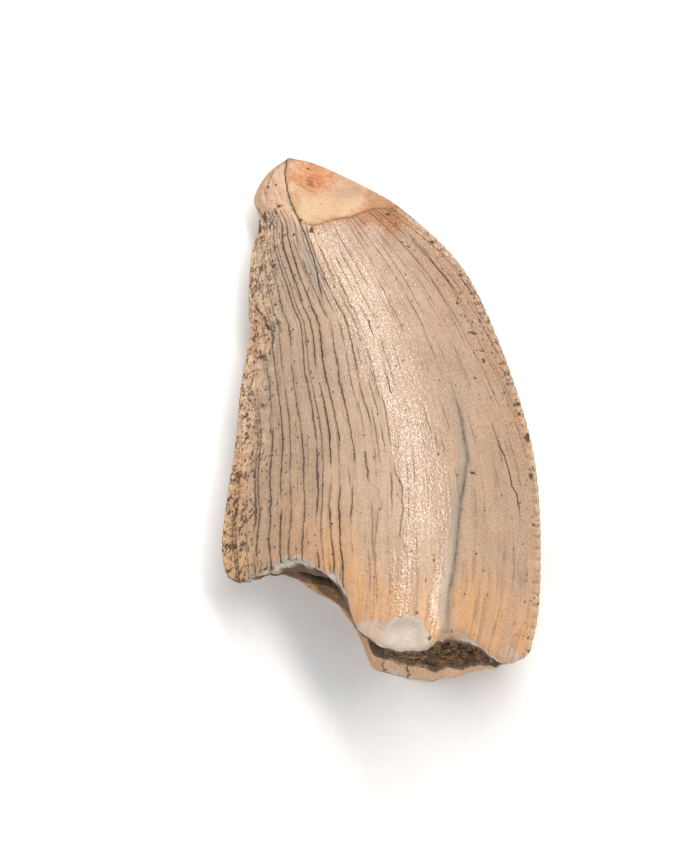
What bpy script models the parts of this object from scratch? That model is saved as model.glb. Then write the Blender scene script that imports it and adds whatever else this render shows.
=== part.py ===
"""Fossil abelisaur tooth: a shed crown that lies on its lingual face, with sediment in its pulp cavity.

Two pieces: tooth_crown, the serrated crown with its worn tip and broken base, and sediment_fill, the
plug of hardened sediment in the hollow of the base. Sizes are in millimetres and are built in metres.
+X points to the convex mesial edge, +Y to the tip and +Z up, off the surface that the tooth lies on.
Run it with blender --background --python part.py, or from Blender's text editor.
"""

import bmesh
import bpy
import numpy as np

MM = 0.001
QUARTER_TURN = np.pi / 2

# Outline of the crown, from the tip down each edge to the broken base, as (x, y).
APEX = (-4.15, 11.87)
DISTAL_EDGE = [
    APEX, (-5.10, 11.10), (-5.70, 9.95), (-5.55, 9.05), (-5.85, 7.20), (-5.90, 4.60),
    (-5.80, 3.55), (-6.20, 1.15), (-6.40, -1.40), (-6.72, -3.70), (-6.95, -5.90), (-6.85, -7.05),
]
MESIAL_EDGE = [
    APEX, (-2.80, 11.50), (-0.50, 10.35), (1.20, 9.20), (3.50, 6.80), (4.90, 4.25),
    (6.10, 0.65), (6.75, -2.25), (6.95, -5.40), (6.74, -8.80), (6.30, -10.75),
]
EDGE_OVERRUN = 2.5  # each edge runs on this far in a straight line, for walls broken below its end

# Thickness. The carinae are the two cutting edges, where the labial and lingual faces meet.
CROWN_LENGTH = 23.75
CARINA_HEIGHT_AT_TIP = 1.10
CARINA_RISE = 1.60
CARINA_RISE_POWER = 0.8
LABIAL_SWELL = 3.90
LABIAL_SWELL_LENGTH = 11.0
TIP_THICKNESS = 0.35
TIP_ROUNDING = 0.35
CREST_POWER_AT_TIP = 0.75  # 1 puts the labial crest midway, and more moves it to the mesial side
CREST_POWER_RISE = 0.60
FLAT_START = 0.42  # share of the width where the lingual belly turns flat, which is what the tooth rests on
BELLY_POWER = 1.3
FULL_BELLY = 1.02
CARINA_PINCH = 0.40
CARINA_PINCH_WIDTH = 0.80

# Serrations: for each edge, the denticles, the loft's rows for each, and how far down the edge they start.
DISTAL_DENTICLES = 33
ROWS_PER_DISTAL_DENTICLE = 3
DISTAL_SERRATION_START = 3.75
MESIAL_DENTICLES = 41
ROWS_PER_MESIAL_DENTICLE = 2
MESIAL_SERRATION_START = 7.00
DENTICLE_HEIGHT = 0.20
NOTCH_DEPTH = 0.12  # the part of that height that is cut in below the edge's line
DISTAL_FIRST_ROW = 12
LOFT_ROWS = DISTAL_FIRST_ROW + DISTAL_DENTICLES * ROWS_PER_DISTAL_DENTICLE
MESIAL_FIRST_ROW = LOFT_ROWS - MESIAL_DENTICLES * ROWS_PER_MESIAL_DENTICLE

# Broken base: how far down each wall reaches, as (share of the width from the distal edge, y).
LABIAL_BREAK = [
    (0.0, -7.05), (0.02, -7.45), (0.05, -7.70), (0.11, -7.48), (0.14, -7.25), (0.19, -6.97), (0.25, -6.94),
    (0.30, -7.35), (0.36, -7.52), (0.39, -8.20), (0.41, -9.00), (0.44, -9.92), (0.51, -10.66), (0.60, -10.95),
    (0.68, -10.82), (0.71, -10.30), (0.775, -10.17), (0.84, -10.73), (0.92, -11.33), (0.96, -11.28), (1.0, -10.75),
]
LINGUAL_BREAK = [
    (0.0, -7.05), (0.05, -7.55), (0.15, -7.10), (0.24, -7.19), (0.30, -7.82), (0.38, -8.80), (0.44, -9.70),
    (0.475, -10.70), (0.52, -11.40), (0.61, -11.66), (0.72, -11.95), (0.76, -11.68), (0.84, -11.46),
    (0.91, -11.43), (0.96, -11.00), (1.0, -10.75),
]
SHEAR_POWER = 3  # how much the rows near the base take on the line of the break

# Pulp cavity and its walls.
CAVITY_SIDES = (0.16, 0.905)  # shares of the width where it starts and ends
CAVITY_CEILING = -3.2
LABIAL_WALL = 1.35
LINGUAL_WALL = 1.00
LINGUAL_BEVEL = 0.55  # the lingual wall's broken face slopes up to its inner edge by this much
HOLLOW_POWER = 0.9
CAVITY_ROWS = 8

# Sediment plug.
FIT_GAP = 0.30
SEDIMENT_RECESS = 0.45
SEDIMENT_LUMP = 0.22
SEDIMENT_RINGS = 5
LUMP_SEED = 7
PLUG_DEPTHS = (0.04, 0.90)  # how far down and up the cavity its sides reach, as shares of a quarter turn

# Facets worn or knocked off the labial face, as centre (x, y), radii (x, y) and greatest depth. The first two
# are the tip's, and they meet in a ridge.
FACETS = [
    ((-1.90, 10.60), (2.95, 2.55), 0.42),
    ((-5.30, 10.40), (1.60, 1.55), 0.22),
    ((0.85, -10.90), (1.75, 1.45), 0.45),
    ((-5.70, 3.40), (1.05, 1.35), 0.20),
]

# The loft's columns, and the angle past which an edge between its faces looks sharp.
LABIAL_COLUMNS = 19
LINGUAL_COLUMNS = 14
COLUMN_CROWDING = 0.55  # 0 spaces the columns evenly, 1 crowds them at the carinae as a cosine does
SHARP_ANGLE = np.radians(30)
SEARCH_ROWS = np.linspace(0.3, 1.25, 600) * LOFT_ROWS  # where a height down the crown is looked for

IVORY = (0.60, 0.42, 0.28, 1.0)
BROWN_SEDIMENT = (0.13, 0.08, 0.045, 1.0)


def smooth_line(points, steps=24):
    """A Catmull-Rom curve through the points, run on in a straight line past the last one."""
    p = np.array(points, float)
    p = np.vstack([2 * p[0] - p[1], p, 2 * p[-1] - p[-2]])
    t = (np.arange(steps) / steps)[:, None]
    line = []
    for a, b, c, d in zip(p, p[1:], p[2:], p[3:]):
        bend = (2 * a - 5 * b + 4 * c - d) * t**2 + (3 * b - a - 3 * c + d) * t**3
        line.append(0.5 * (2 * b + (c - a) * t + bend))
    line.append(p[-2][None])
    line = np.vstack(line)
    ahead = line[-1] - line[-2]
    line = np.vstack([line, line[-1] + ahead / np.linalg.norm(ahead) * EDGE_OVERRUN])
    run = np.concatenate([[0], np.cumsum(np.linalg.norm(np.diff(line, axis=0), axis=1))])
    return line, run


def edge_points(edge, row):
    """Points of an edge at each row: even spacing down to the first denticle, and even again past it."""
    line, run, start, first_row = edge
    per_row = (run[-1] - EDGE_OVERRUN - start) / (LOFT_ROWS - first_row)
    down = np.where(row < first_row, start * row / first_row, start + per_row * (row - first_row))
    return np.stack([np.interp(down, run, line[:, 0]), np.interp(down, run, line[:, 1])], axis=-1)


def carina_height(y):
    """Height of the cutting edges off the surface: they sink towards the tip, which bends lingually."""
    share = np.clip((APEX[1] - y) / CROWN_LENGTH, 0, 1)
    return CARINA_HEIGHT_AT_TIP + CARINA_RISE * share**CARINA_RISE_POWER


def labial_swell(y):
    """Height of the labial crest above the carinae."""
    return LABIAL_SWELL * (1 - np.exp(-np.clip(APEX[1] - y, 0, None) / LABIAL_SWELL_LENGTH)) + TIP_THICKNESS


def facet_depth(x, y):
    """How deep the facets are at (x, y): each takes off the swell of the face inside an ellipse."""
    depth = np.zeros_like(x)
    for (cx, cy), (rx, ry), deepest in FACETS:
        inside = 1 - ((x - cx) / rx) ** 2 - ((y - cy) / ry) ** 2
        depth = np.maximum(depth, deepest * np.clip(inside, 0, 1))
    return depth


def crown_points(u, row, labial_side):
    """Points of the crown's outside: u across it and row down it, on its labial or its lingual side."""
    distal = edge_points(DISTAL, row)
    mesial = edge_points(MESIAL, row)
    x, y = np.moveaxis(distal + (mesial - distal) * u[..., None], -1, 0)
    chord = np.linalg.norm(mesial - distal, axis=-1)
    pinch = 1 - CARINA_PINCH * np.exp(-np.minimum(u, 1 - u) * chord / CARINA_PINCH_WIDTH)
    blunt = 1 - np.exp(-np.clip(APEX[1] - y, 0, None) / TIP_ROUNDING)
    crest_power = CREST_POWER_AT_TIP + CREST_POWER_RISE * (APEX[1] - y) / CROWN_LENGTH
    labial = labial_swell(y) * blunt * pinch * np.sin(np.pi * u**crest_power)
    labial = np.clip(labial - facet_depth(x, y) * np.minimum(1, labial), 0, None)
    belly = np.clip(1 - np.sin(np.pi * u) / np.sin(np.pi * FLAT_START), 0, 1) ** BELLY_POWER
    lingual = np.minimum(1, FULL_BELLY * blunt * pinch * (1 - belly))
    carina = carina_height(y)
    z = np.where(labial_side, carina + labial, carina * (1 - lingual))
    return np.stack([x, y, z], axis=-1)


def break_level(u, labial_side):
    """How far down the wall reaches at u."""
    labial = np.interp(u, *np.transpose(LABIAL_BREAK))
    lingual = np.interp(u, *np.transpose(LINGUAL_BREAK))
    return np.where(labial_side, labial, lingual)


def row_at(u, y):
    """The row at which each column u is at y."""
    distal = edge_points(DISTAL, SEARCH_ROWS)[:, 1]
    mesial = edge_points(MESIAL, SEARCH_ROWS)[:, 1]
    return np.array([np.interp(-b, -(distal + (mesial - distal) * a), SEARCH_ROWS) for a, b in zip(u, y)])


def add_denticles(ring, row):
    """Moves a ring's two carina points out on a denticle, and in on the notch above one."""
    across = ring[LABIAL_COLUMNS] - ring[0]
    across[2] = 0
    across /= np.linalg.norm(across)
    edges = (
        (0, -across, row - DISTAL_FIRST_ROW, ROWS_PER_DISTAL_DENTICLE),
        (LABIAL_COLUMNS, across, row - MESIAL_FIRST_ROW, ROWS_PER_MESIAL_DENTICLE),
    )
    for point, outward, step, rows_each in edges:
        if 0 <= step and row < LOFT_ROWS:
            ring[point] += outward * (DENTICLE_HEIGHT * (step % rows_each > 0) - NOTCH_DEPTH)


def around():
    """The columns once round the crown: u and side, over the labial face and back over the lingual one."""
    v = np.arange(LABIAL_COLUMNS + 1) / LABIAL_COLUMNS
    w = np.arange(LINGUAL_COLUMNS + 1) / LINGUAL_COLUMNS
    crowd = [(1 - COLUMN_CROWDING) * s + COLUMN_CROWDING * (1 - np.cos(np.pi * s)) / 2 for s in (v, w)]
    u = np.concatenate([crowd[0], crowd[1][-2:0:-1]])
    return u, np.arange(len(u)) <= LABIAL_COLUMNS


def cavity_points(depth, gap):
    """A ring of the pulp cavity, gap inside its wall: depth is 0 at the break and 1 at its blind end."""
    low, high = CAVITY_SIDES
    middle = (low + high) / 2
    dome = np.sqrt(1 - depth**2)
    across = middle + (low + (high - low) * U - middle) * dome
    mouth = break_level(across, SIDES) + np.where(SIDES, 0, LINGUAL_BEVEL * np.sin(np.pi * U))
    y = mouth + (CAVITY_CEILING - mouth) * depth
    row = row_at(across, y)
    distal = edge_points(DISTAL, row)[:, 0]
    mesial = edge_points(MESIAL, row)[:, 0]
    x = distal + (mesial - distal) * across
    hollow = np.where(SIDES, labial_swell(y) - LABIAL_WALL, LINGUAL_WALL - carina_height(y))
    z = carina_height(y) + hollow * dome * np.sin(np.pi * U) ** HOLLOW_POWER
    return shrink(np.stack([x, y, z], axis=-1), gap)


def shrink(ring, gap):
    """Moves a ring's points towards its middle, twice gap across and gap up or down at its widest."""
    middle = ring.mean(axis=0)
    out = ring - middle
    reach = np.abs(out).max(axis=0)
    return middle + out * (max(0, 1 - 2 * gap / reach[0]), 1, max(0, 1 - gap / reach[2]))


def loft(name, start, rings, end, material):
    """A closed solid through the rings, with a point at each end."""
    mesh_data = bmesh.new()
    first = mesh_data.verts.new(np.array(start) * MM)
    last = mesh_data.verts.new(np.array(end) * MM)
    rows = [[mesh_data.verts.new(p * MM) for p in ring] for ring in rings]
    count = len(rows[0])
    for i in range(count):
        j = (i + 1) % count
        mesh_data.faces.new((first, rows[0][i], rows[0][j]))
        mesh_data.faces.new((last, rows[-1][j], rows[-1][i]))
        for upper, lower in zip(rows, rows[1:]):
            mesh_data.faces.new((upper[i], lower[i], lower[j], upper[j]))
    bmesh.ops.recalc_face_normals(mesh_data, faces=mesh_data.faces)
    mesh = bpy.data.meshes.new(name)
    mesh_data.to_mesh(mesh)
    mesh_data.free()
    mesh.shade_smooth()
    mesh.set_sharp_from_angle(angle=SHARP_ANGLE)
    mesh.materials.append(material)
    made = bpy.data.objects.new(name, mesh)
    TOOTH.objects.link(made)
    return made


def principled(name, colour, roughness):
    """A plain material of one colour."""
    made = bpy.data.materials.new(name)
    made.use_nodes = True
    shader = made.node_tree.nodes["Principled BSDF"]
    shader.inputs["Base Color"].default_value = colour
    shader.inputs["Roughness"].default_value = roughness
    shader.inputs["Metallic"].default_value = 0.0
    return made


def tooth_crown():
    """The crown: its outside from the tip to the break, the broken rim, and the cavity up to its blind end."""
    reach = row_at(U, break_level(U, SIDES))
    rings = []
    for row in range(1, LOFT_ROWS + 1):
        share = row / LOFT_ROWS
        ring = crown_points(U, row + (reach - LOFT_ROWS) * share ** (SHEAR_POWER + 1), SIDES)
        add_denticles(ring, row)
        rings.append(ring)
    depths = np.sin(np.linspace(0, QUARTER_TURN, CAVITY_ROWS + 1))[:-1]
    inner = [cavity_points(depth, 0) for depth in depths]
    blind_end = inner[-1].mean(axis=0)
    blind_end[1] = CAVITY_CEILING
    start = (*APEX, CARINA_HEIGHT_AT_TIP)
    return loft("tooth_crown", start, rings + inner, blind_end, principled("fossil enamel", IVORY, 0.35))


def sediment_fill():
    """The plug: it follows the cavity's wall, and its lumpy end stops a little inside the broken mouth."""
    lumps = np.random.default_rng(LUMP_SEED)
    depths = np.sin(np.linspace(*PLUG_DEPTHS, CAVITY_ROWS) * QUARTER_TURN)[::-1]
    rings = [cavity_points(depth, FIT_GAP) for depth in depths]
    mouth = cavity_points(0.0, FIT_GAP)
    mouth[:, 1] += SEDIMENT_RECESS
    rings.append(mouth)
    middle = mouth.mean(axis=0)
    for k in range(1, SEDIMENT_RINGS):
        ring = mouth + (middle - mouth) * k / SEDIMENT_RINGS
        ring[:, 1] += lumps.uniform(-1, 1, len(ring)) * SEDIMENT_LUMP
        rings.append(ring)
    top = rings[0].mean(axis=0)
    return loft("sediment_fill", top, rings, middle, principled("sediment", BROWN_SEDIMENT, 0.95))


for leftover in list(bpy.data.objects):
    bpy.data.objects.remove(leftover)
TOOTH = bpy.data.collections.new("fossil abelisaur tooth")
bpy.context.scene.collection.children.link(TOOTH)
DISTAL = (*smooth_line(DISTAL_EDGE), DISTAL_SERRATION_START, DISTAL_FIRST_ROW)
MESIAL = (*smooth_line(MESIAL_EDGE), MESIAL_SERRATION_START, MESIAL_FIRST_ROW)
U, SIDES = around()
tooth_crown()
sediment_fill()
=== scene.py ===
# %% [markdown]
# # A fossil abelisaur tooth
#
# This lesson dresses the plain solids of a fossil tooth: a shed crown of a meat-eating dinosaur, about the
# length of a thumbnail, that lies on its tongue side with its tip away from the camera. The solids come in
# as a fixed frame, and every new surface stands where a solid stands. A tooth crown has a labial face
# (the lip side, here on top), a lingual face (the tongue side, here underneath), a distal edge (here on the
# left) and a mesial edge (here on the right). The two edges are the carinae, and both are serrated.

import bpy
import numpy as np
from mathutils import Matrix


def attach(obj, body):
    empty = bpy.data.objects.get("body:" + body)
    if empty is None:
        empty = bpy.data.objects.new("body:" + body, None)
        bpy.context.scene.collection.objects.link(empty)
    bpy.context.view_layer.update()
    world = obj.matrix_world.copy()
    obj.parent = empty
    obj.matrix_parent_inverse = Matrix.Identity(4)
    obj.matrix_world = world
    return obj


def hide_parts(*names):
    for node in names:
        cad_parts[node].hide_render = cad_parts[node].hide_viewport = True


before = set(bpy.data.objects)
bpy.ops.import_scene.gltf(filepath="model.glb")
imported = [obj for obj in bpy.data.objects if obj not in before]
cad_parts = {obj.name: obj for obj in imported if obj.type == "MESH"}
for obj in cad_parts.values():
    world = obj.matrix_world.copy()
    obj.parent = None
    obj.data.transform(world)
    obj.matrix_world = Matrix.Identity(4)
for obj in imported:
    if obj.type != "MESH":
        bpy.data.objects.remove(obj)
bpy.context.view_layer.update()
MM = 0.001

# %% [markdown]
# ## Camera
#
# A flat specimen is seen best from nearly straight above, on the base side, through a long lens, so that
# the outline shows undistorted and the broken mouth of the base still just shows. The camera is placed
# from its aim, its elevation and its distance, and is turned to look back along that line.

# %% Camera
LENS = 100.0
SENSOR = 36.0
CAMERA_ELEVATION = np.radians(80)
CAMERA_DISTANCE = 103.9
AIM = np.array([-1.364, -0.791, 2.7])

towards_camera = np.array([0, -np.cos(CAMERA_ELEVATION), np.sin(CAMERA_ELEVATION)])
camera_data = bpy.data.cameras.new("camera")
camera_data.lens = LENS
camera_data.sensor_width = SENSOR
camera_data.clip_start = 0.005
camera = bpy.data.objects.new("camera", camera_data)
camera.location = (AIM + towards_camera * CAMERA_DISTANCE) * MM
camera.rotation_euler = (np.pi / 2 - CAMERA_ELEVATION, 0, 0)
bpy.context.scene.collection.objects.link(camera)
bpy.context.scene.camera = camera
print("camera at", np.round(np.array(camera.location) / MM, 1).tolist(), "mm")

# %% [markdown]
# ## Floor and light
#
# The specimen lies on a white studio table. A tall narrow softbox stands beyond the tip, to the right, and
# is rolled in its own plane until its long side lies along the crest. The gloss of the crest shows it all
# the way from tip to base, which gives the long broken highlight. A weak square light fills from the left
# on the side of the base, and a pale world stands for the white walls of the studio. A small object needs
# small lights, so their sizes, distances and watts are all small.

# %% Floor and light
TABLE_SIZE = 600
TABLE_GAP = 0.02
TOOTH_MIDDLE = (0, 0, 3)
KEY_LIGHT = ((23, 56, 93), (25, 136), 0.130, (1.0, 0.942, 0.912), 54)  # place, size, watts, tint and roll
FILL_LIGHT = ((-72, -72, 60), (90, 90), 0.030, (0.98, 0.985, 1.0), 0)
WORLD_TINT = (1.0, 0.995, 0.985, 1)
WORLD_STRENGTH = 0.58


def table_top():
    """One large square under the tooth, a little below it so that the two faces never share a plane."""
    mesh = bpy.data.meshes.new("table_top")
    corners = np.array([(-0.5, -0.5, 0), (0.5, -0.5, 0), (0.5, 0.5, 0), (-0.5, 0.5, 0)]) * TABLE_SIZE
    mesh.from_pydata(((corners - (0, 0, TABLE_GAP)) * MM).tolist(), [], [(0, 1, 2, 3)])
    made = bpy.data.objects.new("table_top", mesh)
    bpy.context.scene.collection.objects.link(made)
    return made


def soft_light(name, place, size, watts, tint, roll):
    """An area light at place, in mm. It faces the middle of the tooth, then rolls in its own plane."""
    light = bpy.data.lights.new(name, "AREA")
    light.shape = "RECTANGLE"
    light.size, light.size_y = size[0] * MM, size[1] * MM
    light.energy = watts
    light.color = tint
    made = bpy.data.objects.new(name, light)
    made.location = np.array(place) * MM
    x, y, z = np.array(place) - TOOTH_MIDDLE
    made.rotation_euler = (np.arctan2(np.hypot(x, y), z), 0, np.arctan2(x, -y))
    made.rotation_euler.rotate_axis("Z", np.radians(roll))
    bpy.context.scene.collection.objects.link(made)


TABLE = table_top()
soft_light("key light", *KEY_LIGHT)
soft_light("fill light", *FILL_LIGHT)
world = bpy.data.worlds.new("studio")
world.use_nodes = True
background = world.node_tree.nodes["Background"].inputs
background["Color"].default_value = WORLD_TINT
background["Strength"].default_value = WORLD_STRENGTH
bpy.context.scene.world = world
bpy.context.scene.view_settings.view_transform = "Standard"

# %% [markdown]
# ## The outline
#
# Each carina is a smooth curve from the tip to the broken base. A few measured points and a Catmull-Rom
# curve through them are enough, because a tooth's edge has no corners but its own wear. The curve also
# gives the distance run down the edge, which places the denticles.

# %% The outline
APEX = (-4.15, 11.87)
CROWN_LENGTH = 23.75
DISTAL_EDGE = [
    APEX, (-5.10, 11.10), (-5.70, 9.95), (-5.52, 9.05), (-5.50, 8.35), (-5.82, 7.10), (-5.90, 4.60),
    (-5.80, 3.55), (-6.20, 1.15), (-6.40, -1.40), (-6.72, -3.70), (-6.95, -5.90), (-6.85, -7.05),
]
MESIAL_EDGE = [
    APEX, (-2.80, 11.50), (-0.50, 10.35), (1.20, 9.20), (3.52, 6.82), (4.86, 4.22),
    (6.10, 0.65), (6.77, -2.25), (6.97, -5.40), (6.84, -8.80), (6.44, -10.75),
]
EDGE_OVERRUN = 2.5


def smooth_line(points, steps=40):
    """A Catmull-Rom curve: half of (2b + (c-a)t + (2a-5b+4c-d)t^2 + (3b-a-3c+d)t^3) between b and c.

    It is computed for all spans at once and run on in a straight line. Returns its points and their run."""
    p = np.array(points, float)
    p = np.vstack([2 * p[0] - p[1], p, 2 * p[-1] - p[-2]])
    a, b, c, d = (p[k : len(p) - 3 + k, None] for k in range(4))
    t = (np.arange(steps) / steps)[None, :, None]
    spans = 0.5 * (2 * b + (c - a) * t + (2 * a - 5 * b + 4 * c - d) * t**2 + (3 * b - a - 3 * c + d) * t**3)
    line = np.vstack([spans.reshape(-1, 2), p[-2]])
    ahead = line[-1] - line[-2]
    line = np.vstack([line, line[-1] + ahead / np.linalg.norm(ahead) * EDGE_OVERRUN])
    return line, np.concatenate([[0], np.cumsum(np.linalg.norm(np.diff(line, axis=0), axis=1))])


DISTAL = smooth_line(DISTAL_EDGE)
MESIAL = smooth_line(MESIAL_EDGE)
print("edges", [round(run[-1] - EDGE_OVERRUN, 2) for _, run in (DISTAL, MESIAL)], "mm long")

# %% [markdown]
# ## Rows and columns
#
# The skin of the crown is a grid. A column is a share u of the way from the distal to the mesial edge, and
# a row is a chord between the edges. The rows are counted as on the solid crown, where three rows carry
# one distal denticle and two carry one mesial denticle, so that a row's number also says where it is on
# the serrations. Here they are cut far finer. The columns are crowded at the carinae for the denticles.

# %% Rows and columns
LOFT_ROWS = 111
DISTAL_STEP = (3.75, 12, 3)  # run to the first denticle in mm, the row there, and the rows a denticle takes
MESIAL_STEP = (7.00, 29, 2)
FINE_ROWS = 400
LABIAL_COLUMNS = 130
LINGUAL_COLUMNS = 74
SEARCH_ROWS = np.linspace(0.3, 1.25, 900) * LOFT_ROWS


def spread(count, crowding):
    """Shares from 0 to 1: a blend of even steps and the steps of a half cosine wave, which crowd the ends."""
    t = np.linspace(0, 1, count + 1)
    return (1 - crowding) * t + crowding * (1 - np.cos(np.pi * t)) / 2


def edge_run(edge, step, row):
    """Run down an edge at a row: even to the first denticle, and even again past it."""
    start, first_row, _ = step
    per_row = (edge[1][-1] - EDGE_OVERRUN - start) / (LOFT_ROWS - first_row)
    return np.where(row < first_row, start * row / first_row, start + per_row * (row - first_row))


def edge_points(edge, step, row):
    """Points of an edge at each row, as (x, y)."""
    run = edge_run(edge, step, row)
    return np.stack([np.interp(run, edge[1], edge[0][:, 0]), np.interp(run, edge[1], edge[0][:, 1])], axis=-1)


def row_at(u, y):
    """The row where each column u comes down to y: the last row above it, and the share of a row past it."""
    distal = edge_points(DISTAL, DISTAL_STEP, SEARCH_ROWS)[:, 1, None]
    mesial = edge_points(MESIAL, MESIAL_STEP, SEARCH_ROWS)[:, 1, None]
    tries = distal + (mesial - distal) * u
    k = np.clip((tries > y).sum(axis=0), 1, len(SEARCH_ROWS) - 1)
    above, below = (np.take_along_axis(tries, i[None], 0)[0] for i in (k - 1, k))
    return SEARCH_ROWS[k - 1] + (SEARCH_ROWS[1] - SEARCH_ROWS[0]) * (above - y) / (above - below)


U = np.concatenate([spread(LABIAL_COLUMNS, 0.6), spread(LINGUAL_COLUMNS, 0.6)[-2:0:-1]])
LABIAL = np.arange(len(U)) <= LABIAL_COLUMNS
print(len(U), "columns, finest", round(U[1] * 13, 3), "mm apart at the carinae")

# %% [markdown]
# ## The broken base
#
# The crown snapped off above the root. The break is a ragged line that is unlike on the two faces: both
# swing up in a scoop at the left, and the lingual wall reaches further down than the labial one, which is
# why the inside shows. Each line gives y for a share of the width, joined straight, as a brittle break is.

# %% The broken base
LABIAL_BREAK = [
    (0.0, -7.10), (0.012, -7.52), (0.045, -7.76), (0.108, -7.50), (0.134, -7.32), (0.142, -7.15),
    (0.149, -7.50), (0.160, -7.15), (0.187, -6.97), (0.216, -6.88), (0.253, -6.94), (0.296, -7.35),
    (0.334, -7.46), (0.360, -7.52), (0.372, -7.74), (0.392, -8.23), (0.407, -8.74), (0.415, -9.21),
    (0.436, -9.87), (0.463, -10.27), (0.513, -10.64), (0.571, -10.90), (0.629, -10.95), (0.679, -10.84),
    (0.701, -10.49), (0.709, -10.30), (0.737, -10.20), (0.775, -10.17), (0.804, -10.43), (0.842, -10.73),
    (0.881, -11.03), (0.918, -11.33), (0.950, -11.30), (0.983, -11.05), (1.0, -10.75),
]
LINGUAL_BREAK = [
    (0.0, -7.10), (0.012, -7.52), (0.045, -7.74), (0.080, -7.60), (0.120, -7.28), (0.154, -7.12),
    (0.239, -7.38), (0.300, -7.98), (0.364, -8.28), (0.394, -8.80), (0.418, -9.22), (0.435, -9.50),
    (0.451, -9.85), (0.472, -10.38), (0.488, -10.94), (0.502, -11.30), (0.519, -11.40), (0.566, -11.52),
    (0.607, -11.66), (0.649, -11.77), (0.717, -11.88), (0.754, -11.68), (0.799, -11.69), (0.837, -11.46),
    (0.873, -11.43), (0.910, -11.43), (0.931, -11.20), (0.970, -11.00), (1.0, -10.75),
]
SHEAR_POWER = 4
CHIP_STEPS = 60
LABIAL_CHIPS = (7, 0.03)  # seed and depth of the small chips along each line
LINGUAL_CHIPS = (5, 0.070)
LINGUAL_CHIPS_FROM = 0.52


def chips(u, seed, depth):
    """Small chips along a break: depth * a random zigzag, joined straight, and 0 at both ends."""
    steps = np.arange(CHIP_STEPS + 1)
    heights = np.random.default_rng(seed).uniform(-1, 1, len(steps)) * (steps % CHIP_STEPS > 0)
    return depth * np.interp(u, np.linspace(0, 1, len(steps)), heights)


def break_level(u, labial):
    """How far down the wall reaches at u, in y."""
    lip_side = np.interp(u, *np.transpose(LABIAL_BREAK)) + chips(u, *LABIAL_CHIPS)
    low_part = np.clip((u - LINGUAL_CHIPS_FROM) / 0.05, 0, 1)
    tongue_side = np.interp(u, *np.transpose(LINGUAL_BREAK)) + chips(u, *LINGUAL_CHIPS) * low_part
    return np.where(labial, lip_side, tongue_side)


def grid_rows():
    """The row of every grid point: even, but near the base they lean onto the line of the break.

    row + (reach - last row) * share^power, where reach is the row at which the column meets the break."""
    share = (np.arange(1, FINE_ROWS + 1) / FINE_ROWS)[:, None]
    reach = row_at(U, break_level(U, LABIAL))
    return LOFT_ROWS * share + (reach - LOFT_ROWS) * share**SHEAR_POWER


ROW = grid_rows()
print("grid", ROW.shape, "and the break between rows", ROW[-1].min().round(1), "and", ROW[-1].max().round(1))

# %% [markdown]
# ## Random relief
#
# Nothing on a fossil is quite even. A lattice of seeded random heights, joined by smooth steps, gives
# relief of any chosen size, and it is the same each time the script runs.

# %% Random relief
LATTICE = 128


def waves(x, y, size, seed):
    """Random heights from -1 to 1: four lattice values round each point, blended by 3t^2 - 2t^3 both ways."""
    heights = np.random.default_rng(seed).uniform(-1, 1, (LATTICE, LATTICE))
    i, j = np.floor(x / size).astype(int), np.floor(y / size).astype(int)
    a, b = x / size - i, y / size - j
    a, b = a * a * (3 - 2 * a), b * b * (3 - 2 * b)
    i, j, next_i, next_j = i % LATTICE, j % LATTICE, (i + 1) % LATTICE, (j + 1) % LATTICE
    near = heights[i, j] * (1 - a) + heights[next_i, j] * a
    far = heights[i, next_j] * (1 - a) + heights[next_i, next_j] * a
    return near * (1 - b) + far * b


def smooth_step(x, low, high):
    """0 below low, 1 above high and 3t^2 - 2t^3 between."""
    t = np.clip((x - low) / (high - low), 0, 1)
    return t * t * (3 - 2 * t)


def window(x, rise, full, fall, gone):
    """0, then 1 between full and fall, then 0 again, with smooth steps."""
    return smooth_step(x, rise, full) * (1 - smooth_step(x, fall, gone))


sample = waves(np.arange(50.0), 0.5, 3, 1)
print("relief runs from", sample.min().round(2), "to", sample.max().round(2))

# %% [markdown]
# ## The lens
#
# Cut across, a theropod's tooth is a lens: two bulging faces that meet in the carinae. Here the labial
# face swells more than the lingual one, which is nearly flat along the belly that it rests on. The swell
# grows quickly from the tip and then slowly, as one minus an exponential does. The crest of the labial
# face moves from the distal half at the tip to the mesial half at the base.

# %% The lens
CARINA_HEIGHT_AT_TIP = 1.10
CARINA_RISE = 1.60
CARINA_RISE_POWER = 0.8
LABIAL_SWELL = 3.90
LABIAL_SWELL_LENGTH = 11.0
TIP_THICKNESS = 0.35
TIP_ROUNDING = 0.35
CREST_POWER_AT_TIP = 0.75
CREST_POWER_RISE = 0.60
FLAT_START = 0.42
BELLY_POWER = 1.3
FULL_BELLY = 1.02
CARINA_PINCH = 0.40
CARINA_PINCH_WIDTH = 0.80


def carina_height(y):
    """Height of the cutting edges: it rises from the tip as a power of the share of the crown's length."""
    share = np.clip((APEX[1] - y) / CROWN_LENGTH, 0, 1)
    return CARINA_HEIGHT_AT_TIP + CARINA_RISE * share**CARINA_RISE_POWER


def labial_swell(y):
    """Height of the labial crest above the carinae: swell * (1 - e^(-distance from the tip / length))."""
    return LABIAL_SWELL * (1 - np.exp(-np.clip(APEX[1] - y, 0, None) / LABIAL_SWELL_LENGTH)) + TIP_THICKNESS


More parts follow.
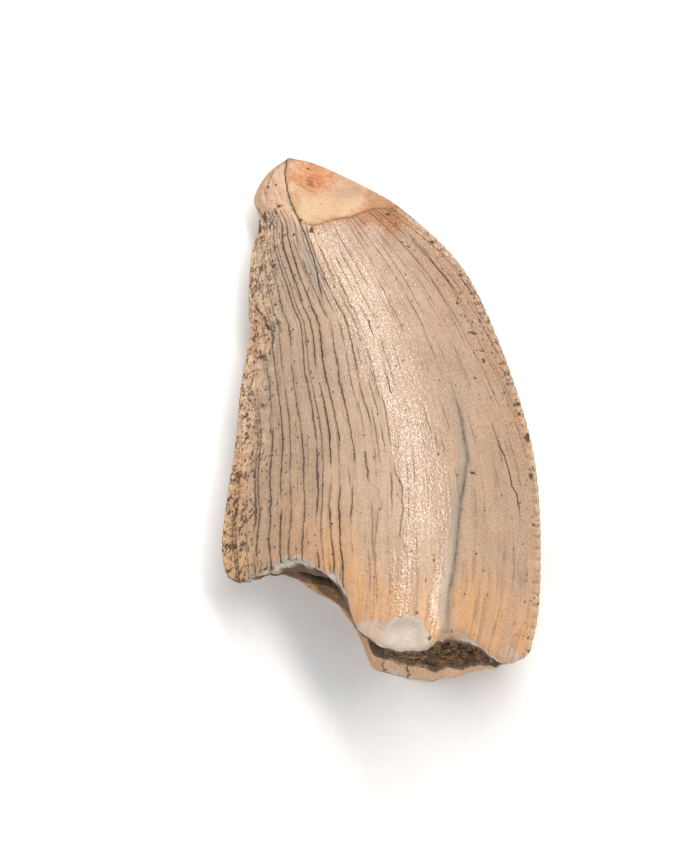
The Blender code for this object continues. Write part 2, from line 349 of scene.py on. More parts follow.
def lens(u, y, chord):
    """Bulge of the labial face above the carinae, and share of the carina height that the lingual face sinks.

    Labial: swell * sin(pi * u^power). Lingual: 1 - (1 - sin(pi u) / sin(pi flat start))^power, at most 1.
    Both are pinched at the carinae by 1 - pinch * e^(-distance from the carina / width)."""
    pinch = 1 - CARINA_PINCH * np.exp(-np.minimum(u, 1 - u) * chord / CARINA_PINCH_WIDTH)
    blunt = 1 - np.exp(-np.clip(APEX[1] - y, 0, None) / TIP_ROUNDING)
    crest_power = CREST_POWER_AT_TIP + CREST_POWER_RISE * (APEX[1] - y) / CROWN_LENGTH
    labial = labial_swell(y) * blunt * pinch * np.sin(np.pi * u**crest_power)
    belly = np.clip(1 - np.sin(np.pi * u) / np.sin(np.pi * FLAT_START), 0, 1) ** BELLY_POWER
    return labial, np.minimum(1, FULL_BELLY * blunt * pinch * (1 - belly))


distal_xy = edge_points(DISTAL, DISTAL_STEP, ROW)
mesial_xy = edge_points(MESIAL, MESIAL_STEP, ROW)
X, Y = np.moveaxis(distal_xy + (mesial_xy - distal_xy) * U[:, None], -1, 0)
CHORD = np.linalg.norm(mesial_xy - distal_xy, axis=-1)
print("chord from", CHORD.min().round(2), "to", CHORD.max().round(2), "mm")

# %% [markdown]
# ## Named cracks
#
# Most cracks are drawn at random later, but six are landmarks, so they have a place of their own. The ridge
# crack runs down between the two worn facets of the tip. The great crack, wide and healed-looking, climbs
# the mesial half from a nick in the base, and its distal lip stands a little proud, most of all near the
# base, where it curls up. The crest crack breaks the highlight, because the enamel lifted along it. Two short
# sharp ones lie beside the mesial edge, and a deep one bounds the flake on the distal edge. Each is a curve
# x(y), so the signed distance to it is known for every point. Between the crest crack and the great one the
# enamel has sunk to a shallow trough near the base, which splits the highlight in two.

# %% Named cracks
CRACKS = {
    "ridge_crack": [
        (-2.55, 4.38), (-2.68, 5.08), (-2.86, 6.03), (-3.12, 7.00), (-3.37, 7.79), (-3.62, 8.39),
        (-3.99, 9.40), (-4.18, 9.98), (-4.30, 10.87), (-4.24, 11.90),
    ],
    "great_crack": [
        (2.84, -10.40), (2.72, -9.60), (2.78, -8.48), (3.04, -7.44), (3.23, -5.78), (3.38, -4.63),
        (3.56, -3.37), (3.72, -2.68), (3.56, -1.65), (3.40, -0.43), (3.08, 0.62), (2.80, 1.80),
    ],
    "crest_crack": [
        (1.00, -6.85), (0.75, -6.07), (0.89, -4.86), (0.85, -3.94), (0.56, -3.36), (0.31, -1.81),
        (0.10, -0.19), (-0.24, 0.45),
    ],
    "upper_crack": [(3.64, 5.07), (3.20, 5.62), (2.71, 6.27), (2.09, 7.13), (1.42, 7.79), (1.11, 8.23)],
    "side_crack": [
        (6.13, -5.13), (6.00, -4.61), (5.88, -3.91), (5.74, -3.66), (5.62, -3.22), (5.53, -2.78),
        (5.36, -2.21), (5.19, -1.91), (5.15, -1.55), (5.07, -1.19),
    ],
    "flake_crack": [(-4.92, 2.30), (-4.78, 3.07), (-4.80, 3.49), (-5.11, 3.83), (-5.25, 4.25), (-5.57, 4.77)],
}
CRACK_WANDER = 0.035
LIPS = {"great_crack": (0.070, 0.7), "crest_crack": (0.035, 0.6)}  # height and reach
LIP_GROWTH = 0.6
BASE_CURL = (0.11, 0.28)  # height and reach
TROUGH_X, TROUGH_HALF_WIDTH, TROUGH_DEPTH = 1.28, 0.50, 0.065
GROOVE = 0.025
GROOVE_HALF_WIDTH = 0.10
CURL_END = (-8.4, -5.2)  # each of these fades out between two heights in y
GROWTH_END = (-9.0, -5.5)
GREAT_END = (-1.0, 1.2)
TROUGH_END = (-6.8, -4.6)
CREST_SPAN = (-7.2, -6.2, 0.0, 1.0)


def across(name, x, y):
    """Signed distance across a crack x(y) in mm, negative on its distal side."""
    crack_x, crack_y = np.transpose(CRACKS[name])
    return x - np.interp(y, crack_y, crack_x)


def lip(name):
    """Height of the lip beside a crack: height * e^(-distance / reach)."""
    height, reach = LIPS[name]
    return height * np.exp(-np.abs(FROM_CRACK[name]) / reach)


def hill(distance, half_width):
    """e^(-(distance / half width)^2): 1 in the middle, and nearly 0 from twice the half width on."""
    return np.exp(-((distance / half_width) ** 2))


FROM_CRACK = {
    name: across(name, X, Y) + CRACK_WANDER * waves(X, Y, 0.5, seed) for seed, name in enumerate(CRACKS, 5)
}
great = FROM_CRACK["great_crack"]
curl = BASE_CURL[0] * np.exp(np.minimum(great, 0) / BASE_CURL[1]) * (1 - smooth_step(Y, *CURL_END))
lip_growth = 1 + LIP_GROWTH * (1 - smooth_step(Y, *GROWTH_END))
great_relief = (lip("great_crack") * lip_growth + curl) * (1 - smooth_step(great, -0.02, 0.14))
great_relief = (great_relief - GROOVE * hill(great, GROOVE_HALF_WIDTH)) * (1 - smooth_step(Y, *GREAT_END))
trough = TROUGH_DEPTH * hill(X - TROUGH_X, TROUGH_HALF_WIDTH) * (1 - smooth_step(Y, *TROUGH_END))
CRACK_RELIEF = great_relief + lip("crest_crack") * window(Y, *CREST_SPAN) - trough
print("relief at the cracks from", CRACK_RELIEF.min().round(3), "to", CRACK_RELIEF.max().round(3), "mm")

# %% [markdown]
# ## Wear and damage
#
# The tip is worn to two facets that meet in the ridge, with the ridge crack along it. A facet is a cut
# through a bulging face, so it is flatter than the face round it, and it ends on a line: the crack on one
# side and a low arc towards the base. Its share is the least of the distances inside those lines, so it is
# 0 on the rim and 1 well inside, and it takes off that share of a given depth. The base has a shell-shaped
# chip of two lobes, and a flake is gone from the distal edge, both ellipses with the share 1 - r^2. The
# shares go to the material later, so that the colour of a facet ends exactly on its rim, which is
# roughened with the relief above, because no flake has a drawn edge. A few single pits are landmarks too.

# %% Wear and damage
MESIAL_ARC = [
    (-4.0, 8.10), (-3.46, 8.29), (-3.06, 8.18), (-2.26, 8.46), (-1.36, 8.75), (-0.91, 8.98), (-0.37, 9.24),
    (0.45, 9.42), (1.5, 9.60),
]
DISTAL_ARC = [(-6.0, 9.15), (-5.06, 9.16), (-4.28, 9.08), (-3.91, 8.71), (-3.73, 8.26), (-3.40, 7.60)]
FACET_REACH = 1.5
CHIP_LOBE = (0.93, -10.50, 0.96, 0.98)  # centre x and y, radii x and y
CHIP_WING = (-0.35, -10.35, 0.95, 0.72)
FLAKE = (-5.70, 3.40, 1.05, 1.35)
DEPTHS = {"tip_mesial": 0.40, "tip_distal": 0.22, "chip_lobe": 0.30, "chip_wing": 0.20, "flake": 0.20}


def ellipse_share(cx, cy, rx, ry):
    """1 - r^2: 1 at the middle of the ellipse, 0 on its rim and negative outside."""
    return 1 - ((X - cx) / rx) ** 2 - ((Y - cy) / ry) ** 2


def arc_share(arc, side):
    """The lesser of the distances above the arc and from the ridge crack, over the facet's reach."""
    above = Y - np.interp(X, *np.transpose(arc))
    return np.minimum(above, side * across("ridge_crack", X, Y)) / FACET_REACH


FACET_SHARE = {
    "tip_mesial": arc_share(MESIAL_ARC, 1) + 0.03 * waves(X, Y, 0.35, 3),
    "tip_distal": arc_share(DISTAL_ARC, -1) + 0.04 * waves(X, Y, 0.35, 4),
    "chip_lobe": ellipse_share(*CHIP_LOBE) + 0.12 * waves(X, Y, 0.5, 7),
    "chip_wing": ellipse_share(*CHIP_WING) + 0.25 * waves(X, Y, 0.5, 8),
    "flake": ellipse_share(*FLAKE) + 0.30 * waves(X, Y, 0.45, 9),
}
FACET_DEPTH = np.max([DEPTHS[name] * smooth_step(share, 0, 1) for name, share in FACET_SHARE.items()], axis=0)

PITS = [  # centre x and y, radii x and y
    (6.48, -1.30, 0.12, 0.24), (6.60, -3.02, 0.10, 0.14), (6.08, 0.27, 0.08, 0.07),
    (6.12, -0.20, 0.07, 0.08), (3.93, -3.18, 0.12, 0.07), (-5.22, 8.95, 0.12, 0.26),
    (-5.44, 8.50, 0.08, 0.34), (-4.56, 9.29, 0.11, 0.07), (-3.08, 8.00, 0.07, 0.17),
    (1.91, -10.50, 0.10, 0.12), (-3.28, 11.30, 0.08, 0.06), (-5.06, 10.32, 0.05, 0.07),
    (-4.72, 10.36, 0.04, 0.07), (0.95, 7.62, 0.09, 0.06), (1.24, 7.42, 0.15, 0.05),
    (0.35, 9.05, 0.12, 0.07), (-5.30, 2.34, 0.16, 0.10), (-3.56, 8.50, 0.09, 0.07),
    (-3.86, 7.80, 0.06, 0.08), (-5.95, -1.10, 0.08, 0.10), (-5.55, -3.10, 0.08, 0.10),
    (3.56, 5.24, 0.07, 0.05), (3.42, 4.78, 0.07, 0.05), (3.74, 4.20, 0.05, 0.07),
    (4.44, 4.07, 0.06, 0.10), (4.08, 3.42, 0.16, 0.06), (4.49, 2.60, 0.11, 0.05),
    (4.55, 2.15, 0.06, 0.13), (4.96, 2.96, 0.05, 0.06), (4.16, 1.25, 0.05, 0.05),
]
PIT_DEPTH = 0.09

PIT_SHARE = np.max([ellipse_share(*pit) for pit in PITS], axis=0) + 0.5 * waves(X, Y, 0.12, 10)
PIT_SHARE = np.where(LABIAL, np.maximum(PIT_SHARE, -1), -1)
for name, share in FACET_SHARE.items():
    print(name, round(100 * (share[:, LABIAL] > 0).mean(), 1), "% of the labial face")

# %% [markdown]
# ## Denticles
#
# Theropod serrations are chisel-shaped: flat-topped nubs with a narrow slit between each two. Every one
# takes the same run of the edge, so its shape is a function of the phase along that run: a round-headed
# crest, less a narrow slit where two of them meet. It pushes the skin out in the plane of the edge and
# swells it a little, and it fades with the distance from the edge, so that the nubs grow out of the blade.
# These are worn low, the distal ones most, and some slits are nearly closed with dirt.

# %% Denticles
CREST_HEIGHT = 0.020
SLIT_DEPTH = 0.032
SLIT_HALF_WIDTH = 0.055
NUB_SWELL = 0.050
DENTICLE_REACH = 0.20
SWELL_REACH = 1.6 * DENTICLE_REACH


def denticle_phase(edge, step, row):
    """Count of denticles down the edge: a whole number in each slit, negative before the first one."""
    start, first_row, rows_each = step
    per_row = (edge[1][-1] - EDGE_OVERRUN - start) / (LOFT_ROWS - first_row)
    return (edge_run(edge, step, row) - start) / (per_row * rows_each), per_row * rows_each


def nub(phase, pitch, wear):
    """Two parts of a denticle: its crest 1 - |2 phase - 1|^3, and its slit, a hill where two of them meet."""
    beat = phase - np.floor(phase)
    from_slit = np.minimum(beat, 1 - beat) * pitch
    fade = smooth_step(phase, -0.2, 0.6) * wear
    return fade * (1 - np.abs(2 * beat - 1) ** 3), fade * hill(from_slit, SLIT_HALF_WIDTH)


def edge_normals(edge, step, row, side):
    """Unit vectors out of an edge in the plane of the blade: the run's direction turned a quarter turn."""
    ahead = edge_points(edge, step, row + 0.5) - edge_points(edge, step, row - 0.5)
    normal = np.stack([-ahead[..., 1], ahead[..., 0]], axis=-1) * side
    return normal / (np.linalg.norm(normal, axis=-1, keepdims=True) + 1e-9)


def serrations(edge, step, distance, side, wear):
    """Phase, pitch, push and swell of one edge's denticles. Wear is its mean, its waves' size and seed."""
    phase, pitch = denticle_phase(edge, step, ROW)
    mean, size, seed = wear
    crest, slit = nub(phase, pitch, mean + 0.30 * waves(phase, 0.5, size, seed))
    push = (CREST_HEIGHT * crest - SLIT_DEPTH * slit) * hill(distance, DENTICLE_REACH)
    swell = NUB_SWELL * (crest - 1.5 * slit) * hill(distance, SWELL_REACH)
    return phase, pitch, edge_normals(edge, step, ROW, side) * push[..., None], swell


FROM_DISTAL = U * CHORD
FROM_MESIAL = (1 - U) * CHORD
DISTAL_PHASE, distal_pitch, distal_push, distal_swell = serrations(
    DISTAL, DISTAL_STEP, FROM_DISTAL, -1, (0.60, 2.3, 11)
)
MESIAL_PHASE, mesial_pitch, mesial_push, mesial_swell = serrations(
    MESIAL, MESIAL_STEP, FROM_MESIAL, 1, (0.80, 1.7, 12)
)
PUSH = distal_push + mesial_push
NUBS = distal_swell + mesial_swell
print("pitch", round(float(distal_pitch), 3), "mm distal,", round(float(mesial_pitch), 3), "mm mesial")

# %% [markdown]
# ## The grain
#
# The enamel of this crown is split by fine cracks that run lengthwise. They fan out like the leaves of a
# book: parallel at the base, and swept towards the distal edge near the tip. If h is the share of the
# width and q the share of the length above the base, each crack is a line where h - a q + b q^2 stays the
# same. That number is stored on the skin as an attribute, so the material can draw cracks, streaks and
# stains that follow the grain. Relief that follows it, low flutes between the cracks, is worked out here
# from the same number.

# %% The grain
GRAIN_LEAN = 0.212
GRAIN_SWEEP = 0.493
FLUTE_HEIGHT = 0.022


def width_share(x, y):
    """Share of the way from the distal to the mesial edge straight across the crown at height y."""
    left = np.interp(-y, -DISTAL[0][:, 1], DISTAL[0][:, 0])
    right = np.interp(-y, -MESIAL[0][:, 1], MESIAL[0][:, 0])
    return (x - left) / np.maximum(right - left, 0.3)


def grain(x, y):
    """The number that stays the same along a crack: h - lean * q + sweep * q^2."""
    q = np.clip(1 - (APEX[1] - y) / CROWN_LENGTH, 0, 1)
    return width_share(x, y) - GRAIN_LEAN * q + GRAIN_SWEEP * q**2


GRAIN = grain(X, Y)
FLUTES = FLUTE_HEIGHT * (waves(GRAIN * 13, Y / 9, 1, 21) + 0.5 * waves(GRAIN * 31, Y / 5, 1, 22))
print("grain runs from", GRAIN.min().round(2), "to", GRAIN.max().round(2))

# %% [markdown]
# ## The outer skin
#
# Now the parts come together: the carina's height, the lens, less the facets, plus the cracks, the flutes,
# the nubs and a pitted band along the worn distal edge, and then the denticles. The broken edge of each
# wall is rounded off over a tenth of a millimetre, and it is lumpy where the scoop begins. On the lingual
# face the relief may not reach below the table, so it fades on the belly.

# %% The outer skin
LIP_DROP = 0.16
LIP_WIDTH = 0.13
BAND_WIDTH = 1.5
BAND_DEPTH = 0.10
RIM_LUMP = 0.20
RIM_LUMP_SPAN = (0.13, 0.18, 0.30, 0.40)

ABOVE_BREAK = Y - break_level(U, LABIAL)


def skin_points():
    """The outer skin as a grid of points in mm."""
    labial, lingual = lens(U, Y, CHORD)
    carina = carina_height(Y)
    firm = smooth_step(labial, 0.02, 0.5)
    band = 1 - smooth_step(FROM_DISTAL + 0.5 * waves(X, Y, 0.7, 31), BAND_WIDTH * 0.5, BAND_WIDTH)
    pits = BAND_DEPTH * band * (0.5 * waves(X * 2, Y, 0.36, 32) + 0.5 * waves(X * 2, Y, 0.17, 33) - 0.4)
    lumpy = window(U, *RIM_LUMP_SPAN) * np.exp(-ABOVE_BREAK.clip(0) / 0.25)
    top = labial - (FACET_DEPTH + PIT_DEPTH * smooth_step(PIT_SHARE, 0, 1)) * np.minimum(1, labial)
    top = top + firm * (CRACK_RELIEF + FLUTES * (FACET_SHARE["tip_mesial"] < 0))
    top = top + pits * smooth_step(labial, 0.0, 0.2)
    top = top + NUBS + RIM_LUMP * lumpy * waves(X, Y, 0.35, 34)
    lip = LIP_DROP * np.exp(-np.clip(ABOVE_BREAK, 0, None) / LIP_WIDTH)
    top = carina + np.clip(top - lip * firm, 0, None)
    sunk = carina * lingual
    bottom = carina - sunk + lip * firm * (1 - smooth_step(lingual, 0.9, 1))
    bottom = bottom + (1.5 * FLUTES - NUBS) * window(lingual, 0.02, 0.3, 0.8, 1)
    z = np.where(LABIAL, top, np.clip(bottom, 0, None))
    return np.stack([X + PUSH[..., 0], Y + PUSH[..., 1], z], axis=-1)


SKIN = skin_points()
print("skin", SKIN.shape, "from", SKIN.min((0, 1)).round(2), "to", SKIN.max((0, 1)).round(2), "mm")

# %% [markdown]
# ## The broken wall and the pulp cavity
#
# A living tooth is hollow, and the break opens that hollow. Its wall is a ring of points for each depth,
# on a dome that closes like a quarter of an ellipse. Between the outer skin and the mouth of the cavity
# lies the broken wall itself, which is joined straight from one to the other and roughened like a
# fracture. The lingual wall's face slopes up to its inner edge, and the labial one leans out a little in
# the scoop and under the arch of the mouth, so that both show from above.

# %% The broken wall and the pulp cavity
CAVITY_SIDES = (0.16, 0.905)
CAVITY_CEILING = -3.2
LABIAL_WALL = 1.35
LINGUAL_WALL = 1.00
LINGUAL_BEVEL = 0.55
LABIAL_LEAN = 0.22
LEANING = ((0.10, 0.16, 0.33, 0.40), (0.69, 0.71, 0.785, 0.82))
HOLLOW_POWER = 0.9
WALL_RINGS = 7
WALL_SHARES = np.arange(1, WALL_RINGS + 1) / (WALL_RINGS + 1)
CAVITY_RINGS = 22


def cavity_ring(depth, gap=0.0):
    """Rings of the cavity at each depth, from 0 at the mouth to 1 at the blind end.

    Across: the middle plus the share * sqrt(1 - depth^2). Down: from the mouth to the ceiling. Up: the
    swell less the wall, times sin(pi u)^power."""
    depth = np.atleast_1d(depth)[:, None]
    low, high = CAVITY_SIDES
    middle = (low + high) / 2
    dome = np.sqrt(1 - depth**2)
    across = middle + (low + (high - low) * U - middle) * dome
    lean = LABIAL_LEAN * sum(window(across, *span) for span in LEANING)
    mouth = break_level(across, LABIAL) + np.where(LABIAL, -lean, LINGUAL_BEVEL * np.sin(np.pi * U))
    y = mouth + (CAVITY_CEILING - mouth) * depth
    row = np.stack([row_at(a, b) for a, b in zip(across, y)])
    left = edge_points(DISTAL, DISTAL_STEP, row)[..., 0]
    x = left + (edge_points(MESIAL, MESIAL_STEP, row)[..., 0] - left) * across
    hollow = np.where(LABIAL, labial_swell(y) - LABIAL_WALL - gap, LINGUAL_WALL + gap - carina_height(y))
    z = carina_height(y) + hollow * dome * np.sin(np.pi * U) ** HOLLOW_POWER
    return np.stack([x, y, z], axis=-1)


def wall_rings():
    """Rings across the broken wall: (1 - t) * outer + t * inner, roughened most in the middle."""
    t = WALL_SHARES[:, None, None]
    rings = (1 - t) * SKIN[-1] + t * MOUTH
    x, z = rings[..., 0], rings[..., 2]
    rough = 0.13 * waves(x + 9, z, 0.40, 41) + 0.07 * waves(x, z, 0.14, 42)
    rings[..., 1] += rough * np.sin(np.pi * t[..., 0]) ** 0.5
    return rings


depths = np.sin(np.linspace(0, np.pi / 2, CAVITY_RINGS + 1))[:-1]
MOUTH = cavity_ring(0.0)[0]
WALL = wall_rings()
CAVITY = cavity_ring(depths)
CAVITY[..., 2] += 0.05 * waves(CAVITY[..., 0], CAVITY[..., 1], 0.5, 43) * (depths[:, None] > 0)
print("wall", WALL.shape, "cavity", CAVITY.shape)

# %% [markdown]
# ## From grids to one closed mesh
#
# The skin, the broken wall and the cavity share their columns, so their rings stack into one long sock:
# a point at the tip, four hundred rings of skin, the wall turned inwards, and a point at the blind end.
# The faces are index arithmetic on whole arrays, and foreach_set hands them to the mesh.

# %% From grids to one closed mesh
def mesh_object(name, points, quads, triangles):
    """An object from points in mm and two lists of faces."""
    mesh = bpy.data.meshes.new(name)
    mesh.vertices.add(len(points))
    mesh.vertices.foreach_set("co", (points * MM).ravel())
    corners = np.concatenate([quads.ravel(), triangles.ravel()])
    mesh.loops.add(len(corners))
    mesh.loops.foreach_set("vertex_index", corners)
    sizes = np.concatenate([np.full(len(quads), 4), np.full(len(triangles), 3)])
    mesh.polygons.add(len(sizes))
    mesh.polygons.foreach_set("loop_start", np.concatenate([[0], np.cumsum(sizes)[:-1]]))
    mesh.update(calc_edges=True)
    mesh.shade_smooth()
    made = bpy.data.objects.new(name, mesh)
    bpy.context.scene.collection.objects.link(made)
    return made


def sock_faces(count, width):
    """Faces of a closed sock of rings: quads between rings, which close on themselves, and a fan at each end.

    The points are numbered ring by ring, then the first end and the last."""
    a = np.arange(count * width).reshape(count, width)
    b = np.roll(a, -1, axis=1)
    quads = np.stack([a[:-1], a[1:], b[1:], b[:-1]], axis=-1).reshape(-1, 4)
    first = np.stack([np.full(width, count * width), a[0], b[0]], axis=-1)
    last = np.stack([np.full(width, count * width + 1), b[-1], a[-1]], axis=-1)
    return quads, np.concatenate([first, last])


def closed_sock(name, first, rings, last):
    """A closed mesh from rings of points and a point at each end."""
    points = np.vstack([rings.reshape(-1, 3), first, last])
    return mesh_object(name, points, *sock_faces(*rings.shape[:2]))


def store(mesh, name, grid, at_tip, at_end):
    """Stores a value for each point of the sock as a named attribute, with one for each end."""
    values = np.concatenate([grid.ravel(), [at_tip, at_end]])
    mesh.attributes.new(name, "FLOAT", "POINT").data.foreach_set("value", values.astype(np.float32))


RINGS = np.concatenate([SKIN, WALL, CAVITY])
blind_end = CAVITY[-1].mean(axis=0)
blind_end[1] = CAVITY_CEILING
tip_point = (*APEX, CARINA_HEIGHT_AT_TIP)
crown = closed_sock("serrated_crown", tip_point, RINGS, blind_end)
print(crown.name, len(crown.data.polygons), "faces")

# %% [markdown]
# ## What the material needs to know
#
# Each point of the sock also carries the numbers that were worked out on the way: how far it is from each
# carina, from the break and from the named cracks, where it is on the grain and on the serrations, and how
# deep it lies in each facet. The rings of the wall and the cavity repeat the last ring of the skin, and one
# more number, core, says what is bare: 0 on the skin, up to 1 across the broken wall, and from 1 at the
# mouth of the cavity to 2 a little way in.

# %% Store the numbers
INNER_RINGS = WALL_RINGS + CAVITY_RINGS
CORE_RUN = 0.3


def down_the_sock(grid):
    """The grid of the skin, with its last ring repeated for the wall and the cavity."""
    grid = np.broadcast_to(grid, ROW.shape)
    return np.concatenate([grid, np.repeat(grid[-1:], INNER_RINGS, axis=0)])


NEAR_DISTAL = FROM_DISTAL < FROM_MESIAL
SKIN_NUMBERS = {
    "grain": GRAIN,
    "from_distal": FROM_DISTAL,
    "from_mesial": FROM_MESIAL,
    "denticle": np.where(NEAR_DISTAL, DISTAL_PHASE, MESIAL_PHASE),
    "above_break": np.clip(ABOVE_BREAK, 0, 30),
    "lingual": np.where(LABIAL, 0.0, 1.0),
    "pit": PIT_SHARE,
    **FACET_SHARE,
    **FROM_CRACK,
}
for name, grid in SKIN_NUMBERS.items():
    grid = down_the_sock(grid)
    store(crown.data, name, grid, grid[0].mean(), grid[-1].mean())
core = np.concatenate([np.zeros(FINE_ROWS), WALL_SHARES, 1 + np.minimum(1, depths / CORE_RUN)])
store(crown.data, "core", np.broadcast_to(core[:, None], RINGS.shape[:2]), 0, 2)
print("stored", sorted(a.name for a in crown.data.attributes if a.data_type == "FLOAT"))

# %% [markdown]
# ## Values that add up
#
# A material is a tree of small steps, and most of them are arithmetic. A value stands for what a node gives
# out, and each sign on it adds one Math node: a * b multiplies, and abs(a) drops the minus. So every mask
# can be written down as the formula that it is.

# %% Values that add up
class Value:
    """What a node gives out. A sign between two values, or a value and a number, adds a Math node."""

    def __init__(self, bench, socket):
        self.bench = bench
        self.socket = socket

    def output(self, name):
        """Another output of the same node."""
        return Value(self.bench, self.socket.node.outputs[name])

    def __add__(self, other):
        return self.bench.maths("ADD", self, other)

    def __sub__(self, other):
        return self.bench.maths("SUBTRACT", self, other)

    def __rsub__(self, other):
        return self.bench.maths("SUBTRACT", other, self)

    def __mul__(self, other):
        return self.bench.maths("MULTIPLY", self, other)

    def __rtruediv__(self, other):
        return self.bench.maths("DIVIDE", other, self)

    def __pow__(self, other):
        return self.bench.maths("POWER", self, other)

    def __lt__(self, other):
        return self.bench.maths("LESS_THAN", self, other)

    def __abs__(self):
        return self.bench.maths("ABSOLUTE", self)


def greatest(first, *others):
    """The greatest of some values at each place."""
    for other in others:
        first = first.bench.maths("MAXIMUM", first, other)
    return first


def least(first, second):
    """The lesser of two values at each place."""
    return first.bench.maths("MINIMUM", first, second)


print("values can be added, subtracted, multiplied, divided, raised and compared")

# %% [markdown]
# ## A bench for shader nodes
#
# The bench adds one node at a time to the tree that it was made for. It joins what is a value and sets what
# is a number, so that a step is one short call. Coats of paint are so common that it takes a list of them.

# %% A bench for shader nodes
class Bench:
    """Adds nodes to one tree."""

    def __init__(self, tree):
        self.tree = tree

    def fill(self, node, values):
        """Joins each value that a node gave out to the input of its name, and sets any other value there."""
        for key, value in values.items():
            if isinstance(value, Value):
                self.tree.links.new(value.socket, node.inputs[key])
            else:
                node.inputs[key].default_value = value

    def add(self, kind, values, out=0, **settings):
        node = self.tree.nodes.new(kind)
        for key, value in settings.items():
            setattr(node, key, value)
        self.fill(node, values)
        return Value(self, node.outputs[out])

    def effect(self, group, values):
        """Places an effect."""
        return self.add("ShaderNodeGroup", values, node_tree=group)

    def maths(self, operation, *values):
        return self.add("ShaderNodeMath", dict(enumerate(values)), operation=operation)

    def ramp(self, value, low, high, at_low=0.0, at_high=1.0):
        """Runs smoothly from at_low to at_high as value runs from low to high."""
        values = {"Value": value, "From Min": low, "From Max": high, "To Min": at_low, "To Max": at_high}
        return self.add("ShaderNodeMapRange", values, interpolation_type="SMOOTHSTEP")

    def between(self, value, rise, full, fall, gone):
        """0, then 1 between full and fall, then 0 again."""
        return self.ramp(value, rise, full) * self.ramp(value, gone, fall)

    def blend(self, share, first, second):
        """Colour between first and second."""
        return self.add("ShaderNodeMix", {0: share, 6: first, 7: second}, out=2, data_type="RGBA")

    def coats(self, colour, *layers):
        """Paints layers over a colour from first to last. Each is the share that it covers, and its paint."""
        for share, paint in layers:
            colour = self.blend(share, colour, paint)
        return colour

    def point(self, x, y, z=0.0):
        return self.add("ShaderNodeCombineXYZ", {"X": x, "Y": y, "Z": z})

    def split(self, vector):
        """The three parts of a vector or a colour."""
        first = self.add("ShaderNodeSeparateXYZ", {"Vector": vector})
        return first, first.output("Y"), first.output("Z")

    def scale(self, vector, times):
        return self.add("ShaderNodeVectorMath", {0: vector, 3: times}, operation="SCALE")

    def noise(self, vector, scale=1.0, detail=2.0, roughness=0.5):
        values = {"Vector": vector, "Scale": scale, "Detail": detail, "Roughness": roughness}
        return self.add("ShaderNodeTexNoise", values)

    def number(self, name):
        """A number stored on the mesh."""
        return self.add("ShaderNodeAttribute", {}, out="Fac", attribute_name=name)

    def finish(self, depth, values):
        """Gives the shader its values, and a bump from a depth in mm."""
        bump = self.add("ShaderNodeBump", {"Strength": 1.0, "Distance": MM, "Height": depth}, out="Normal")
        self.fill(self.tree.nodes["Principled BSDF"], values | {"Normal": bump})


print("bench ready")

# %% [markdown]
# ## New materials and effects
#
# A material starts with its own bench and with the place on the object in millimetres. An effect that
# several materials share is a node group with named inputs and outputs.

# %% New materials and effects
def new_material(name):
    """A material, the bench for its tree, and the place on the object in mm."""
    made = bpy.data.materials.new(name)
    made.use_nodes = True
    bench = Bench(made.node_tree)
    return made, bench, bench.scale(bench.add("ShaderNodeTexCoord", {}, out="Object"), 1 / MM)


def new_effect(name, numbers, vectors=(), outputs=("Mask",)):
    """An empty node group with these inputs: numbers with their first values, and vectors."""
    group = bpy.data.node_groups.new(name, "ShaderNodeTree")
    for vector in vectors:
        group.interface.new_socket(vector, in_out="INPUT", socket_type="NodeSocketVector")
    for number, first in numbers.items():
        socket = group.interface.new_socket(number, in_out="INPUT", socket_type="NodeSocketFloat")
        socket.default_value = first
    for output in outputs:
        group.interface.new_socket(output, in_out="OUTPUT", socket_type="NodeSocketFloat")
    bench = Bench(group)
    given = group.nodes.new("NodeGroupInput").outputs
    return group, bench, {socket.name: Value(bench, socket) for socket in given}


def give_out(bench, **results):
    """Joins the effect's results to its outputs of the same names."""
    bench.fill(bench.tree.nodes.new("NodeGroupOutput"), results)


print("starters:", new_material.__name__, new_effect.__name__, give_out.__name__)

# %% [markdown]
# ## Grain cracks
#
# A crack is where the grain's number passes one of a row of random values. A one-dimensional Voronoi
# texture gives just that: the distance to the nearest of a row of jittered points, and a random colour for
# each, which gives every crack its own width, its own strength and its own life. Noise bends the number
# before it is read: slow noise sways the cracks together, quicker noise kinks each one, and the quickest
# frays its sides. More noise along its own length opens it and tapers it to an end here and there. Dirty
# water seeped out on both sides of each crack, so there is a second, wider mask for the stain.

